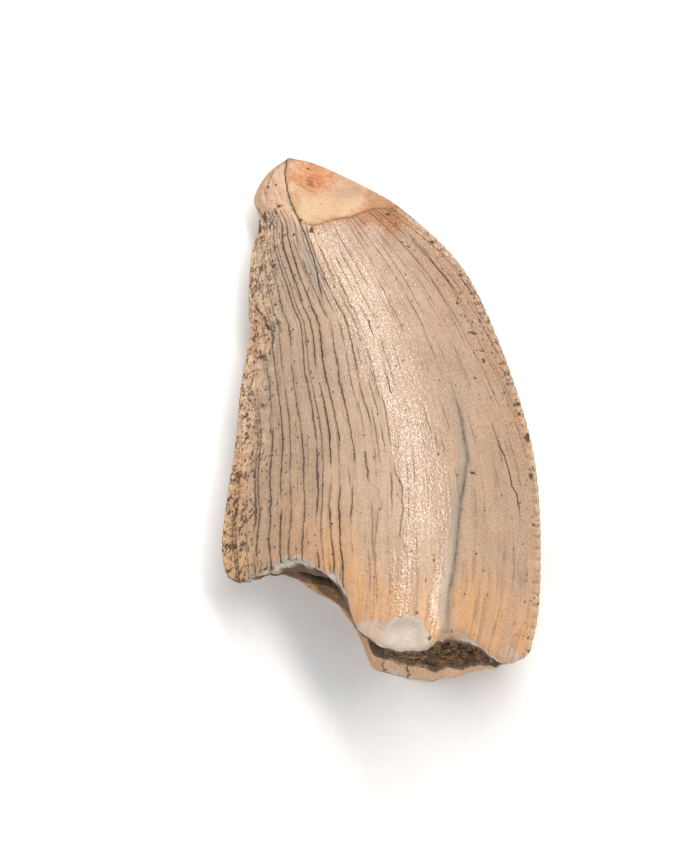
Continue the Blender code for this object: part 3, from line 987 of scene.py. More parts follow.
# %% Grain cracks
def grain_cracks():
    """Masks of lines across a number: 1 - smooth step of the distance to the nearest, thinned by its life."""
    numbers = {"Across": 0, "Along": 0, "Count": 26, "Width": 0.1, "Wander": 0.5, "Presence": 0.6, "Seed": 0}
    group, b, given = new_effect("grain cracks", numbers, outputs=("Mask", "Stain"))
    along = given["Along"]
    lines = given["Seed"] * 17.3 + given["Across"] * given["Count"]
    slow = b.noise(b.point(lines * 0.30, along * 0.24), detail=1)
    kinks = b.noise(b.point(lines * 1.1, along * 0.8), detail=3, roughness=0.6)
    kinks = (kinks - 0.5) * 0.42
    fray = b.noise(b.point(lines * 1.3, along * 4.5), detail=3, roughness=0.65)
    kinks = kinks + (fray - 0.5) * 0.30
    bent = lines + (slow - 0.5) * given["Wander"] + kinks
    values = {"W": bent, "Scale": 1, "Randomness": 0.85}
    distance = b.add("ShaderNodeTexVoronoi", values, out="Distance", voronoi_dimensions="1D")
    own_life, own_strength, own_width = b.split(distance.output("Color"))
    life = b.noise(b.point(own_life * 90, along * 0.36), detail=3)
    gone = 1.0 - given["Presence"]
    alive = b.ramp(life, gone * 0.50 + 0.24, gone * 0.50 + 0.38)
    swell = b.noise(b.point(own_strength * 70, along * 1.7), detail=4, roughness=0.6)
    swell = own_width * 0.9 - 0.95 + swell * 2.8
    swell = greatest(swell, 0.20) * (alive * 0.65 + 0.35)
    half = given["Width"] * swell
    strength = alive * (own_strength * 0.32 + 0.68)
    line = b.ramp(distance, half * 0.4, half, 1.0, 0.0)
    stain = b.ramp(distance, 0.0, half * 5.0, 1.0, 0.0)
    give_out(b, Mask=line * strength, Stain=stain * strength)
    return group


GRAIN_CRACKS = grain_cracks()
print(GRAIN_CRACKS.name, "takes", [i.name for i in GRAIN_CRACKS.interface.items_tree if i.in_out == "INPUT"])

# %% [markdown]
# ## Specks and mottle
#
# Dirt sits in pits, each with its own size, and only in some places. A three-dimensional Voronoi texture
# scatters them: a pit is drawn where the distance to its point is less than its random radius, in the
# cells that a random number keeps, and a wider halo round it is for the rust that it weeps. Mottle is plain
# noise, stretched so that it fills the range from 0 to 1.

# %% Specks and mottle
def specks():
    """Mask of spots: cells kept where random < amount, spots of radius * random, edges ragged by noise."""
    numbers = {"Spacing": 0.4, "Amount": 0.5, "Radius": 0.35}
    group, b, given = new_effect("specks", numbers, ["Position"], outputs=("Mask", "Halo"))
    place = b.scale(given["Position"], 1.0 / given["Spacing"])
    distance = b.add("ShaderNodeTexVoronoi", {"Vector": place, "Scale": 1, "Randomness": 1}, out="Distance")
    own_luck, own_size, _ = b.split(distance.output("Color"))
    distance = distance + (b.noise(place, 3.5, 3) - 0.5) * 0.8
    radius = given["Radius"] * (own_size * 0.9 + 0.3)
    spot = b.ramp(distance, radius * 0.6, radius, 1.0, 0.0)
    halo = b.ramp(distance, radius * 0.6, radius * 2.2, 1.0, 0.0)
    kept = own_luck < given["Amount"]
    give_out(b, Mask=spot * kept, Halo=halo * kept)
    return group


def mottle():
    """Noise of one size, stretched from its usual range to 0 to 1."""
    group, b, given = new_effect("mottle", {"Size": 1.0, "Detail": 3.0, "Spread": 0.16}, ["Position"])
    fine = b.noise(given["Position"], 1.0 / given["Size"], given["Detail"], 0.55)
    give_out(b, Mask=b.ramp(fine, 0.5 - given["Spread"], given["Spread"] + 0.5))
    return group


SPECKS = specks()
MOTTLE = mottle()


def spotted(bench, place, spacing, radius, amount):
    """Places the specks on a material."""
    return bench.effect(SPECKS, {"Position": place, "Spacing": spacing, "Radius": radius, "Amount": amount})


def mottled(bench, place, size, detail=3, spread=0.2):
    """Places the mottle on a material."""
    return bench.effect(MOTTLE, {"Position": place, "Size": size, "Detail": detail, "Spread": spread})


print("effects:", [g.name for g in bpy.data.node_groups])

# %% [markdown]
# ## Fossil enamel
#
# Fresh enamel is white, but this one has taken up iron and manganese from the ground: taupe in the upper
# left, warmer towards the mesial edge and the base, ochre and pitted along the distal edge. It stays
# glossy, and its fine crinkle breaks the gloss into sparkles. The material is laid down in that order,
# one coat over another, and each coat has its own mask. Depths are added up in millimetres for one Bump.
# It starts with the numbers stored on the skin and with six mottles that the masks share, from clouds of
# three millimetres down to grit of a tenth, two of them stretched along the grain.

# %% Fossil enamel: its numbers and mottles
CROWN_WIDTH = 13.0
LINGUAL_SHIFT = 5.0  # so that the two faces never show the same streaks
STREAK_STRETCH = 0.09

enamel, e, place = new_material("stained_enamel")
ramp, between, blend, coats, noise, point = e.ramp, e.between, e.blend, e.coats, e.noise, e.point
x, y, _ = e.split(place)
number = {name: e.number(name) for name in [*SKIN_NUMBERS, "core"]}
from_distal = number["from_distal"]
from_mesial = number["from_mesial"]
great_crack = number["great_crack"]
ridge_crack = number["ridge_crack"]
lingual = number["lingual"]
over = lingual * LINGUAL_SHIFT + number["grain"] * CROWN_WIDTH
with_grain = point(over, y * STREAK_STRETCH)


def from_point(cx, cy, stretch=1.0):
    """Distance from a vertical line through (cx, cy), with y counted stretch times."""
    return e.maths("SQRT", (x - cx) ** 2 + ((y - cy) * stretch) ** 2)


clouds = mottled(e, place, 3.0, detail=4)
soft = mottled(e, place, 1.1)
ragged = mottled(e, place, 0.45)
grit = mottled(e, place, 0.11, detail=2, spread=0.22)
bands = mottled(e, with_grain, 0.55)
fibres = mottled(e, with_grain, 0.19)
print("numbers:", sorted(number))

# %% [markdown]
# ### Ground colours
#
# The ground is taupe and beige in clouds, tan over the mesial half and warm along its very edge. Low down it
# turns to honey, with an amber corner on the mesial side and a darker brown on the distal one. Near the tip
# its crest is paler, partly from wear and partly as a painted highlight. Darker bands and fibres run with the
# grain, pale grit lies over all of it, and thin rusty patches come last.

# %% Fossil enamel: ground colours
TAUPE = (0.425, 0.298, 0.205, 1)
BEIGE = (0.520, 0.366, 0.250, 1)
TAN = (0.332, 0.184, 0.104, 1)
EDGE_WARM = (0.370, 0.166, 0.060, 1)
HONEY = (0.720, 0.330, 0.085, 1)
LOW_LEFT = (0.230, 0.115, 0.034, 1)
AMBER = (0.540, 0.185, 0.030, 1)
SHADE = (0.240, 0.155, 0.098, 1)
WARM = (0.530, 0.322, 0.165, 1)
PALE = (0.620, 0.470, 0.350, 1)
PALE_WEAR_AND_HIGHLIGHT = (0.700, 0.500, 0.360, 1)
RUSTY = (0.420, 0.235, 0.120, 1)

mesial_half = ramp(from_mesial + clouds * 1.8, 7.5, 2.2)
low_down = ramp(number["above_break"] + clouds * 0.9, 4.7, 1.0) * ramp(x, -5.5, -1.5, 0.35, 0.95)
amber = ramp(from_point(5.45, -10.45, 0.8) + ragged * 0.5, 1.5, 0.35, 0.0, 0.55)
# partly wear, partly painted highlight: the crest near the tip is painted paler where the gloss falls
pale_crest_and_highlight = ramp(y, 1.5, 6.0) * between(number["grain"], 0.42, 0.60, 0.78, 0.98)
left_side = ramp(x + clouds * 1.5, -0.5, -3.2) * ramp(y, 4.5, 0.5, 0.0, 0.42)
rusty = mottled(e, place, 0.7, detail=5, spread=0.12) * ragged * ramp(clouds, 0.3, 0.7)
colour = coats(
    blend(clouds, TAUPE, BEIGE),
    (mesial_half * 0.9, TAN),
    (ramp(from_mesial + soft * 0.6, 2.6, 0.4, 0.0, 0.66), EDGE_WARM),
    (ramp(y + clouds * 3.0, 5.0, -6.0, 0.0, 0.6), WARM),
    (low_down, HONEY),
    (amber, AMBER),
    (pale_crest_and_highlight * (soft * 0.26 + 0.06), PALE_WEAR_AND_HIGHLIGHT),
    (left_side, LOW_LEFT),
    (bands * ramp(y, 4.0, -6.0, 0.24, 0.40), SHADE),
    (fibres * ramp(y, -9.0, -5.0, 0.18, 0.30), SHADE),
    (soft * 0.16, PALE),
    (grit * 0.42, PALE),
    (rusty * 0.34, RUSTY),
)
print("ground colours of", enamel.name)

# %% [markdown]
# ### Worn band and flake
#
# The distal edge is a worn band of ochre, rough and dark in its hollows, and browner towards the base. The
# flake that is gone from it left a rosy scar, which ends at the flake crack.

# %% Fossil enamel: worn band and flake
OCHRE = (0.755, 0.520, 0.335, 1)
OCHRE_LOW = (0.670, 0.390, 0.180, 1)
OCHRE_DARK = (0.240, 0.130, 0.062, 1)
ROSE = (0.665, 0.425, 0.285, 1)
FLAKE_ROSE = (0.540, 0.300, 0.165, 1)

distal_band = ramp(from_distal + ragged * 0.7, 1.75, 0.8) * ramp(y, 9.6, 8.6)
flake = ramp(number["flake"] + ragged * 0.15, 0.05, 0.14) * ramp(number["flake_crack"], 0.02, -0.03)
rough_ochre = coats(
    blend(ramp(y, 0.0, -5.0), OCHRE, OCHRE_LOW),
    (ragged * grit * 0.85, OCHRE_DARK),
    (ramp(noise(place, 5.5, 3, 0.65), 0.56, 0.68, 0.0, 0.5), ROSE),
)
colour = coats(colour, (distal_band * 0.8, rough_ochre), (flake * (ragged * 0.6 + 0.25), FLAKE_ROSE))
print("worn band and flake")

# %% [markdown]
# ### Facets of the tip
#
# The mesial facet shows bare pale enamel, cream with an orange bloom, a grey patch and rusty flecks and
# strokes. It ends on a brown line, with a stain below it and a rusty glow on both its sides. The distal
# facet is rosy and plainer, with a dull strip along the worn edge and a thin brown line inside the strip.

# %% Fossil enamel: facets of the tip
CREAM = (0.620, 0.425, 0.250, 1)
BLOOM = (0.610, 0.185, 0.038, 1)
EMBER = (0.330, 0.070, 0.010, 1)
GREY_FACET = (0.430, 0.290, 0.190, 1)
DULL_EDGE = (0.380, 0.235, 0.135, 1)
ARC_STAIN = (0.340, 0.120, 0.018, 1)
RUST_LINE = (0.150, 0.078, 0.044, 1)

rim_of_facet = number["tip_mesial"] + (ragged - 0.5) * 0.07
stain = ramp(from_point(0.15, 9.30) + soft * 0.8, 2.1, 0.9)
below_arc = ramp(abs(rim_of_facet) + ragged * 0.26, 0.44, 0.12)
stain = greatest(stain, below_arc * ramp(x, -3.4, 0.2, 0.55, 1.0))

tip_mesial = ramp(rim_of_facet, -0.01, 0.03)
tip_distal = ramp(number["tip_distal"] + (ragged - 0.5) * 0.25, -0.06, 0.08)
bloom = ramp(from_point(-3.0, 10.95, 1.2) + ragged * 0.8, 2.2, 0.5)
ember = ramp(from_point(-3.15, 10.42, 1.3) + grit * 0.4, 1.15, 0.25)
flecks = spotted(e, place, 0.12, 0.50, bloom * 0.16 + 0.05)
grey_patch = ramp(from_point(-1.45, 10.1, 1.1) + soft * 0.6, 1.5, 0.4, 0.0, 0.80)
strokes = noise(point(x * 3.0, y * 6.5 + x * 1.6), 1.0, 4, 0.72)
strokes = ramp(strokes, 0.49, 0.54) * (bloom * 0.28 + ember * 0.72)
facet = coats(
    blend(ramp(x, -1.9, -0.4, 0.0, 0.7), CREAM, ROSE),
    (grey_patch, GREY_FACET),
    (bloom * (grit * 0.32 + 0.58), BLOOM),
    (ember * (ragged * 0.25 + 0.12), EMBER),
    (flecks * 0.50, EMBER),
    (strokes, EMBER),
    (stain * (ragged * 0.40 + 0.55), ARC_STAIN),
    (grit * 0.26, SHADE),
    (ramp(rim_of_facet, 0.14, 0.02) * ragged * 0.5, ARC_STAIN),
)
under_distal = ramp(number["tip_distal"] - ragged * 0.35, -1.2, -0.1, 0.0, 0.6)
under_distal = under_distal * ramp(abs(ridge_crack), 1.6, 0.3)
dull_edge = ramp(from_distal + ragged * 0.35, 0.75, 0.45)
distal_facet = coats(blend(ragged * 0.6, ROSE, CREAM), (grit * 0.22, SHADE), (dull_edge * 0.60, DULL_EDGE))
arc_line = ramp(abs(rim_of_facet), 0.035, 0.008) * ramp(soft, 0.2, 0.6, 0.25, 0.75)
arc_line = arc_line * ramp(ridge_crack, 0.2, 0.5)
old_edge = ramp(abs(from_distal - 0.62 + soft * 0.3), 0.06, 0.02)
old_edge = old_edge * ramp(y, 9.5, 10.1) * ramp(ragged, 0.2, 0.6, 0.2, 0.75)
arc_glow = ramp(abs(rim_of_facet) + ragged * 0.06, 0.13, 0.04)
arc_glow = arc_glow * ramp(ridge_crack, 0.0, 0.4) * ramp(x, -3.4, -1.0, 0.30, 0.60)
colour = coats(
    colour,
    (stain * (ragged * 0.35 + 0.62), ARC_STAIN),
    (under_distal, ROSE),
    (tip_distal * 0.95, distal_facet),
    (tip_mesial, facet),
    (arc_glow, ARC_STAIN),
    (greatest(arc_line, old_edge), RUST_LINE),
)
print("facets of the tip")

# %% [markdown]
# ### Chip and fresh edges
#
# The chip at the base is fresh and white, and so is a hair's width of every broken edge, wider where the
# scoop begins and at the mesial corner. The cracks stop where the skin is worn or chipped, so a mask of
# what is unworn is kept for them.

# %% Fossil enamel: chip and fresh edges
CHALK = (0.560, 0.468, 0.385, 1)
SLATE = (0.280, 0.238, 0.180, 1)

lobe = ramp(number["chip_lobe"] + soft * 0.30 + ragged * 0.30, 0.20, 0.42)
chip = greatest(ramp(number["chip_wing"], -0.15, 0.45) * 0.7, lobe)
corner = ramp(from_point(5.60, -10.98) + ragged * 0.35, 0.60, 0.25)
lumps = ramp(from_point(-3.7, -7.0, 2.6) + ragged * 0.5, 1.55, 0.9)
rim_reach = lumps * 0.13 + 0.05
fresh_edge = ramp(number["above_break"] + ragged * 0.12, rim_reach + 0.10, rim_reach)
fresh_edge = fresh_edge * ramp(from_distal, 0.9, 1.6) * (soft * 0.35 + 0.6)
fresh_edge = greatest(fresh_edge, corner * 0.75)
chalk = blend(ragged * soft * (0.60 - chip * 0.35), CHALK, SLATE)
colour = blend(greatest(chip, fresh_edge), colour, chalk)
unworn = 1.0 - greatest(tip_mesial, tip_distal, chip)
print("chip and fresh edges")

# %% [markdown]
# ### Cracks along the grain
#
# The cracks are drawn three times with different values: the long dark ones that cover the distal half,
# broken brown ones all over, and a faint fine set. Near the base they fade, and soft brown grooves take
# their place.

# %% Fossil enamel: cracks along the grain
DARK_LINE = (0.034, 0.019, 0.010, 1)
BROWN_LINE = (0.090, 0.048, 0.026, 1)
GROOVE_BROWN = (0.250, 0.155, 0.092, 1)

across_grain = number["grain"] + lingual * 3.37
distal_half = ramp(number["grain"], 0.66, 0.36)


def cracks(count, width, wander, seed, presence):
    """Mask and stain of one set of grain cracks, off the facets and the chip."""
    values = {"Count": count, "Width": width, "Wander": wander, "Seed": seed, "Presence": presence}
    mask = e.effect(GRAIN_CRACKS, values | {"Across": across_grain, "Along": y})
    return mask * unworn, mask.output("Stain") * unworn


faint_below = ramp(y, 1.0, -5.0) * ramp(x, -2.8, -0.8, 0.0, 0.30)
near_top = ramp(y, 2.0, 6.5, 0.0, 0.14)
long_presence = near_top + 0.44 + distal_half * (0.40 - near_top) - faint_below
thick = ramp(y, -0.5, -5.0) * ramp(x, -2.0, -4.2, 0.0, 0.03)
long_width = thick + 0.064 + near_top * 0.14 + distal_half * 0.024
long_cracks, long_stain = cracks(31, long_width, 1.2, 1, long_presence)
soft_base = ramp(y, -5.0, -7.5) * ramp(great_crack, -4.5, -2.5)
in_band = ramp(from_distal, 1.5, 0.6) * ramp(y, -5.5, -2.5, 0.35, 0.75)
long_cracks = long_cracks * (1.0 - soft_base * 0.72) * (1.0 - in_band)
short_cracks, short_stain = cracks(37, 0.062, 1.0, 2, 0.54)
short_cracks = short_cracks * (1.0 - soft_base * 0.75)
hair_cracks, _ = cracks(74, 0.110, 0.9, 3, 0.50)
grooves = ramp(noise(point(over * 5.6, y * 0.60), 1.0, 2), 0.50, 0.70) * soft_base * 0.50
colour = coats(
    colour,
    (grooves * unworn, GROOVE_BROWN),
    (greatest(long_stain, short_stain) * ramp(grit, 0.35, 0.9, 0.14, 0.62), RUST_LINE),
    (hair_cracks * 0.42, RUST_LINE),
    (short_cracks * 0.85, BROWN_LINE),
    (long_cracks * (distal_half * 0.10 + 0.88), DARK_LINE),
)
print("cracks along the grain")

# %% [markdown]
# ### Named cracks
#
# The named cracks follow their own curves, jagged a little by noise, and fade out at both ends. Five are
# sharp and dark. The great one is a soft grey line in a greenish halo, as if it had healed, and the ridge
# crack has such a halo below the facets.

# %% Fossil enamel: named cracks
GREY_LINE = (0.190, 0.142, 0.108, 1)
HEALED_LINE = (0.085, 0.066, 0.058, 1)


def line(name, half_width, low, high, fade=0.8):
    """Mask of a named crack: near its curve, between two heights."""
    jag = (noise(place, 3.0, 5, 0.65) - 0.5) * 0.15
    near = ramp(abs(number[name] + jag), 0.3 * half_width, half_width, 1.0, 0.0)
    return near * between(y, low, low + fade, high - fade, high)


by_crack = abs(great_crack + 0.12)
slate = ramp(by_crack, 0.50, 0.05) * ramp(y + ragged * 1.2, 2.2, -0.6)
by_ridge = abs(ridge_crack + 0.12)
ridge_slate = ramp(by_ridge, 0.42, 0.10) * ramp(y, 4.4, 5.6) * ramp(y, 8.6, 7.8)
slate = greatest(slate, ridge_slate)
ridge_line = line("ridge_crack", 0.048, 4.3, 12.8)
side_line = line("side_crack", 0.055, -5.2, -1.2)
upper_line = line("upper_crack", 0.045, 5.0, 8.3)
crest_line = line("crest_crack", 0.055, -6.9, 0.5) * ramp(soft, 0.1, 0.7, 0.10, 0.65)
flake_line = line("flake_crack", 0.09, 2.2, 4.9, 0.3) * ramp(grit, 0.1, 0.6, 0.15, 1.0)
great_band = line("great_crack", 0.17, -10.7, 0.9, 1.6) * (soft * 0.4 + 0.45)
great_line = line("great_crack", 0.06, -10.9, 1.9, 3.0) * ramp(ragged, 0.1, 0.8, 0.25, 0.9)
great_line = great_line * ramp(y, -9.5, -5.5, 0.45, 1.0)
great_band = great_band * ramp(y, -9.5, -6.0, 0.60, 1.0)
sharp_lines = greatest(ridge_line, side_line, upper_line, crest_line, flake_line)
colour = coats(
    colour,
    (slate * (soft * 0.3 + 0.45), SLATE),
    (sharp_lines * 0.92, DARK_LINE),
    (great_band * 0.8, GREY_LINE),
    (great_line, HEALED_LINE),
)
print("named cracks")

# %% [markdown]
# ### Serrations
#
# Dirt lies in the slits between the denticles and in a small hole at the foot of some of them, while the
# heads of the denticles are worn bright. Which slit is dark is a matter of luck: a random number for each.

# %% Fossil enamel: serrations
NUB = (0.640, 0.450, 0.270, 1)
SLIT_FOOT = 0.30
SLIT_UNIT = float(distal_pitch + mesial_pitch) / 2

edge_distance = least(from_distal, from_mesial)
mesial_side = from_mesial < from_distal
beat = e.maths("FRACT", number["denticle"])
from_slit = least(beat, 1.0 - beat)
luck = e.add("ShaderNodeTexWhiteNoise", {"W": e.maths("ROUND", number["denticle"])}, noise_dimensions="1D")
serrated = ramp(number["denticle"], -0.2, 0.3)
slit = ramp(from_slit, 0.18, 0.05) * ramp(edge_distance + ragged * 0.20, 0.46, 0.28)
slit = slit * serrated * ramp(luck, 0.15, 0.85, 0.15, 0.8)
from_foot = e.maths("SQRT", (from_slit * SLIT_UNIT) ** 2 + (edge_distance - SLIT_FOOT) ** 2)
foot = ramp(from_foot + ragged * 0.09, 0.11, 0.05) * serrated * ramp(luck, 0.48, 0.70)
head = ramp(edge_distance + ragged * 0.16, 0.34, 0.14) * serrated
head = head * (mesial_side * ramp(y, 3.5, -2.0, 0.0, 0.36) + 0.22)
colour = coats(colour, (head, NUB), (slit * 0.42, RUST_LINE))
print("slits", round(SLIT_UNIT, 3), "mm apart on average")

# %% [markdown]
# ### Pits
#
# Small pits are full of dirt: fine ones along both edges, coarse blotches in the worn band and on the
# mesial edge, a few round ones anywhere, and the landmarks. The worn facets have fewer, and the chip none,
# because it is younger than the dirt. Rust weeps from the larger ones.

# %% Fossil enamel: pits
DIRT = (0.072, 0.031, 0.009, 1)

edge_dirt = ramp(edge_distance + clouds * 0.8, 1.9, 0.5)
distal_dirt = ramp(from_distal + clouds * 0.6, 2.4, 0.8)
lower_left = greatest(ramp(y, 0.0, -4.5, 0.6, 1.0), ramp(y, 3.5, 6.0, 0.0, 0.95))
speckled = ramp(from_distal, 5.0, 1.5, 0.0, 0.09) * ramp(y, 3.0, -4.0, 0.5, 1.3)
amount = speckled + 0.014 + edge_dirt * 0.09 + distal_dirt * 0.26
mesial_dirt = ramp(from_mesial + ragged * 0.8, 2.0, 0.6) * between(y, -2.5, 0.0, 5.5, 7.5)
off_facets = ramp(soft, 0.15, 0.8, 0.45, 1.35) * (1.0 - greatest(tip_distal, tip_mesial) * 0.75)
amount = (amount + mesial_dirt * 0.16) * off_facets
leant = point(over - y * 0.35, y * 0.62, x * 0.4)
coarse_amount = (distal_dirt * lower_left + mesial_dirt * 0.45) * off_facets
coarse = (1.0 - coarse_amount) * 0.085 + 0.560
blotch = noise(leant, 4.6, 4, 0.72)
coarse_pits = ramp(blotch, coarse, coarse + 0.04) * ramp(coarse_amount, 0.08, 0.35)
fine_pits = spotted(e, leant, 0.085, 0.52, amount)
round_amount = ramp(from_distal, 3.5, 1.0, 0.05, 0.26) * off_facets
round_pits = spotted(e, place, 0.36, 0.15, round_amount)
ragged_pit = number["pit"] + (noise(place, 6.5, 4, 0.7) - 0.5) * 3.2
named_pits = ramp(ragged_pit, 0.08, 0.28)
pits = greatest(coarse_pits, fine_pits, round_pits, named_pits, foot) * (1.0 - chip)
weeping = ramp(blotch, coarse - 0.09, coarse) * distal_dirt
halos = greatest(round_pits.output("Halo"), weeping, ramp(ragged_pit, -0.7, 0.1)) * (1.0 - chip)
colour = coats(colour, (halos * 0.40, RUST_LINE), (pits * 0.88, DIRT))
print("pits")

# %% [markdown]
# ### The broken wall
#
# Under the enamel lies dentine. Its broken face is pale on the lip side and a dull pinkish tan on the
# tongue side, where two cracks cross it and a splinter between them is fresh and white. It darkens inwards
# with painted shade, to dark brown deep in the scoop and to near black in the cavity.

# %% Fossil enamel: broken wall
DENTINE = (0.860, 0.520, 0.300, 1)
DENTINE_TAN = (0.720, 0.415, 0.225, 1)
DENTINE_PALE = (0.700, 0.640, 0.560, 1)
DENTINE_GREY = (0.500, 0.385, 0.290, 1)
SCOOP_SHADE = (0.180, 0.088, 0.030, 1)
DENTINE_SCOOP = (0.620, 0.290, 0.075, 1)
DENTINE_SHADE_AND_GRIT = (0.150, 0.085, 0.045, 1)
CAVITY_SHADE = (0.030, 0.016, 0.008, 1)
CAVITY_SHADE_PALE = (0.130, 0.075, 0.038, 1)
WALL_CRACKS = (0.12, 1.17)

wander = x + (noise(place, 2.2, 4, 0.7) - 0.5) * 0.7
depth_in = number["core"] + ragged * 0.18
in_scoop = ramp(x, -0.4, -1.2)
under_arch = between(wander, 1.9, 2.1, 3.3, 3.5)
# painted shade: the lip wall darkens as it runs in towards the cavity, further in under the arch
lip_shade = ramp(depth_in, under_arch * 0.35 + 0.28, under_arch * 0.35 + 0.55)
lip_wall = blend(ragged * 0.5, DENTINE_PALE, DENTINE_GREY)
lip_wall = coats(lip_wall, (under_arch * 0.85, DENTINE_TAN), (lip_shade, DENTINE_SHADE_AND_GRIT))
splinter = between(wander, 0.15, 0.4, 0.8, WALL_CRACKS[1]) * ramp(depth_in + soft * 0.5, 0.85, 0.55)
tongue_wall = coats(
    blend(soft * 0.45, DENTINE, DENTINE_GREY),
    (between(wander, -0.9, -0.7, 0.0, WALL_CRACKS[0]), DENTINE_TAN),
    (splinter * 0.8, DENTINE_PALE),
    # painted shade: the tongue wall darkens as it runs into the cavity
    (ramp(depth_in, 0.92, 1.15) * 0.9, DENTINE_SHADE_AND_GRIT),
    # painted shade: deeper in the scoop the dentine is painted dark brown
    (in_scoop, blend(ramp(depth_in, 0.20, 0.60), DENTINE_SCOOP, SCOOP_SHADE)),
)
plates = ramp(noise(place, 2.6, 4, 0.65), 0.55, 0.68, 0.0, 0.4)
wall_crack = greatest(*[ramp(abs(wander - at), 0.045, 0.015) for at in WALL_CRACKS]) * lingual
values = {"Across": x, "Along": y, "Count": 1.0, "Width": 0.04, "Wander": 2.2, "Seed": 5, "Presence": 0.35}
wall_crack = greatest(wall_crack, e.effect(GRAIN_CRACKS, values) * 0.6)
wall = coats(
    blend(lingual, lip_wall, tongue_wall),
    (plates * lingual, DENTINE_PALE),
    (grit * 0.26, DENTINE_SHADE_AND_GRIT),
    (wall_crack * 0.85, DARK_LINE),
)
# painted shade: the cavity is painted near black for the shade deep inside it
hollow = blend(soft * ragged, CAVITY_SHADE, CAVITY_SHADE_PALE)
colour = coats(colour, (ramp(number["core"], 0.02, 0.12), wall), (ramp(number["core"], 0.95, 1.3), hollow))
print("broken wall and cavity")

# %% [markdown]
# ### Gloss and relief
#
# The gloss comes in glints: a fine noise, turned so that its rows never line up with the tooth, with
# patches of more and of less polish. A streak beside the great crack has kept its polish. Gloss is lost in
# the pits, the cracks, the chip and a strip on the crest. The bump adds the crinkle of the enamel, the
# grooves of the cracks, the pits and the roughness of the broken wall.

# %% Fossil enamel: gloss and relief
POLISHED = (0.17, 0.17, 0.17, 1)  # two roughnesses
DULL = (0.80, 0.80, 0.80, 1)

dull_strip = between(great_crack, -1.65, -1.40, -0.82, -0.70) * ramp(y, -4.6, -7.0, 0.0, 0.56)
beside_crest = ramp(number["crest_crack"], 0.08, -0.05) * between(y, -7.2, -6.4, 0.0, 1.2)
worn = greatest(distal_band * 0.6, greatest(tip_mesial, tip_distal) * 0.85, chip * 0.6, slate * 0.45)
dull = greatest(pits, long_cracks, ramp(number["core"], 0.05, 0.2), worn, dull_strip, beside_crest * 0.60)
turned = e.add("ShaderNodeVectorRotate", {"Vector": place, "Angle": 0.7}, out="Vector")
glints = noise(turned, 9.4, 1, 0.45)
patches = noise(turned, 2.2, 2, 0.6)
roughness = ramp(glints - 0.175 + patches * 0.35, 0.45, 0.56, 0.040, 0.38)
polished = between(great_crack, -0.74, -0.58, -0.14, -0.04) * ramp(y, -3.0, -7.5, 0.0, 0.85)
roughness = blend(dull, blend(polished, roughness, POLISHED), DULL)

crinkle = ramp(y, -8.0, -4.0, 0.033, 0.036) - polished * 0.020
depth = noise(place, 2.5, 2, 0.6) * 0.014 + glints * crinkle
relief = {  # mm
    long_cracks: -0.030, short_cracks: -0.014, hair_cracks: -0.006, pits: -0.045, slit: -0.030,
    fibres: 0.006, bands: 0.014, sharp_lines: -0.030, great_band: -0.014, chip: -0.010,
}
for mask, height in relief.items():
    depth = depth + mask * height
depth = depth + distal_band * noise(leant, 5.0, 3, 0.6) * 0.10
depth = depth + number["core"] * noise(place, 3.0, 4, 0.65) * 0.20
e.finish(depth, {"Base Color": colour, "Roughness": roughness, "IOR": 1.62})
crown.data.materials.append(enamel)
print(enamel.name, "has", len(enamel.node_tree.nodes), "nodes")

# %% [markdown]
# ## Sediment
#
# The cavity was packed with sandy mud, which hardened. It is a plug that follows the wall of the cavity
# and fills it to just inside the broken mouth, but not in the scoop, where the hollow stands open. The plug
# is another closed sock: rings up the cavity, and rings that shrink to the middle of its face. The face is
# a height field over the mouth: straight across from the tongue side to the lip side, sunk a little between
# them, and roughened by relief of three sizes.

# %% Sediment
PLUG_GAP = 0.04
MOUTH_RECESS = 0.10
SCOOP_RECESS = 1.6
SCOOP_END = (-0.9, 0.5)
FACE_SAG = 0.22
TONGUE_GAP = 0.06
FACE_RINGS = 48
PLUG_RINGS = 24


def mouth_side(side, x):
    """y and z of one side of the mouth at each x."""
    edge = MOUTH[side][np.argsort(MOUTH[side][:, 0])]
    return [np.interp(x, edge[:, 0], edge[:, k]) for k in (1, 2)]


def face_level(x, z):
    """y of the face: tongue side + share * (lip side - tongue side) + sag * sin(pi share) + recess."""
    lip_y, lip_z = mouth_side(LABIAL, x)
    tongue_y, tongue_z = mouth_side(~LABIAL, x)
    share = np.clip((z - tongue_z) / np.maximum(lip_z - tongue_z, 0.05), 0, 1)
    recess = MOUTH_RECESS + SCOOP_RECESS * (1 - smooth_step(x, *SCOOP_END))
    recess = recess + TONGUE_GAP * (1 - smooth_step(share, 0.05, 0.3))
    return tongue_y + (lip_y - tongue_y) * share + FACE_SAG * np.sin(np.pi * share) + recess


def sediment_rings():
    """Rings of the plug from its blind end to the middle of its face. On the face, t runs from its rim."""
    sides = cavity_ring(np.sin(np.linspace(0, 0.45 * np.pi, PLUG_RINGS))[::-1], PLUG_GAP)
    centre = sides.mean(axis=1, keepdims=True)
    sides = centre + (sides - centre) * (0.985, 1, 0.985)
    rim = sides[-1].copy()
    rim[:, 1] = face_level(rim[:, 0], rim[:, 2])
    run = np.linspace(0, 1, PLUG_RINGS)[:, None]
    sides[..., 1] += (rim[:, 1] - sides[-1][:, 1]) * run**3
    t = (np.arange(1, FACE_RINGS) / FACE_RINGS)[:, None, None] ** 0.8
    middle = rim.mean(axis=0)
    face = rim + (middle - rim) * t
    x, z = face[..., 0], face[..., 2]
    lumps = 0.12 * waves(x, z, 0.9, 51) + 0.10 * waves(x, z, 0.30, 52) + 0.06 * waves(x, z, 0.14, 53)
    face[..., 1] = face_level(x, z) + lumps * smooth_step(t[..., 0], 0, 0.12)
    middle[1] = face_level(middle[0], middle[2])
    return np.concatenate([sides, face]), middle


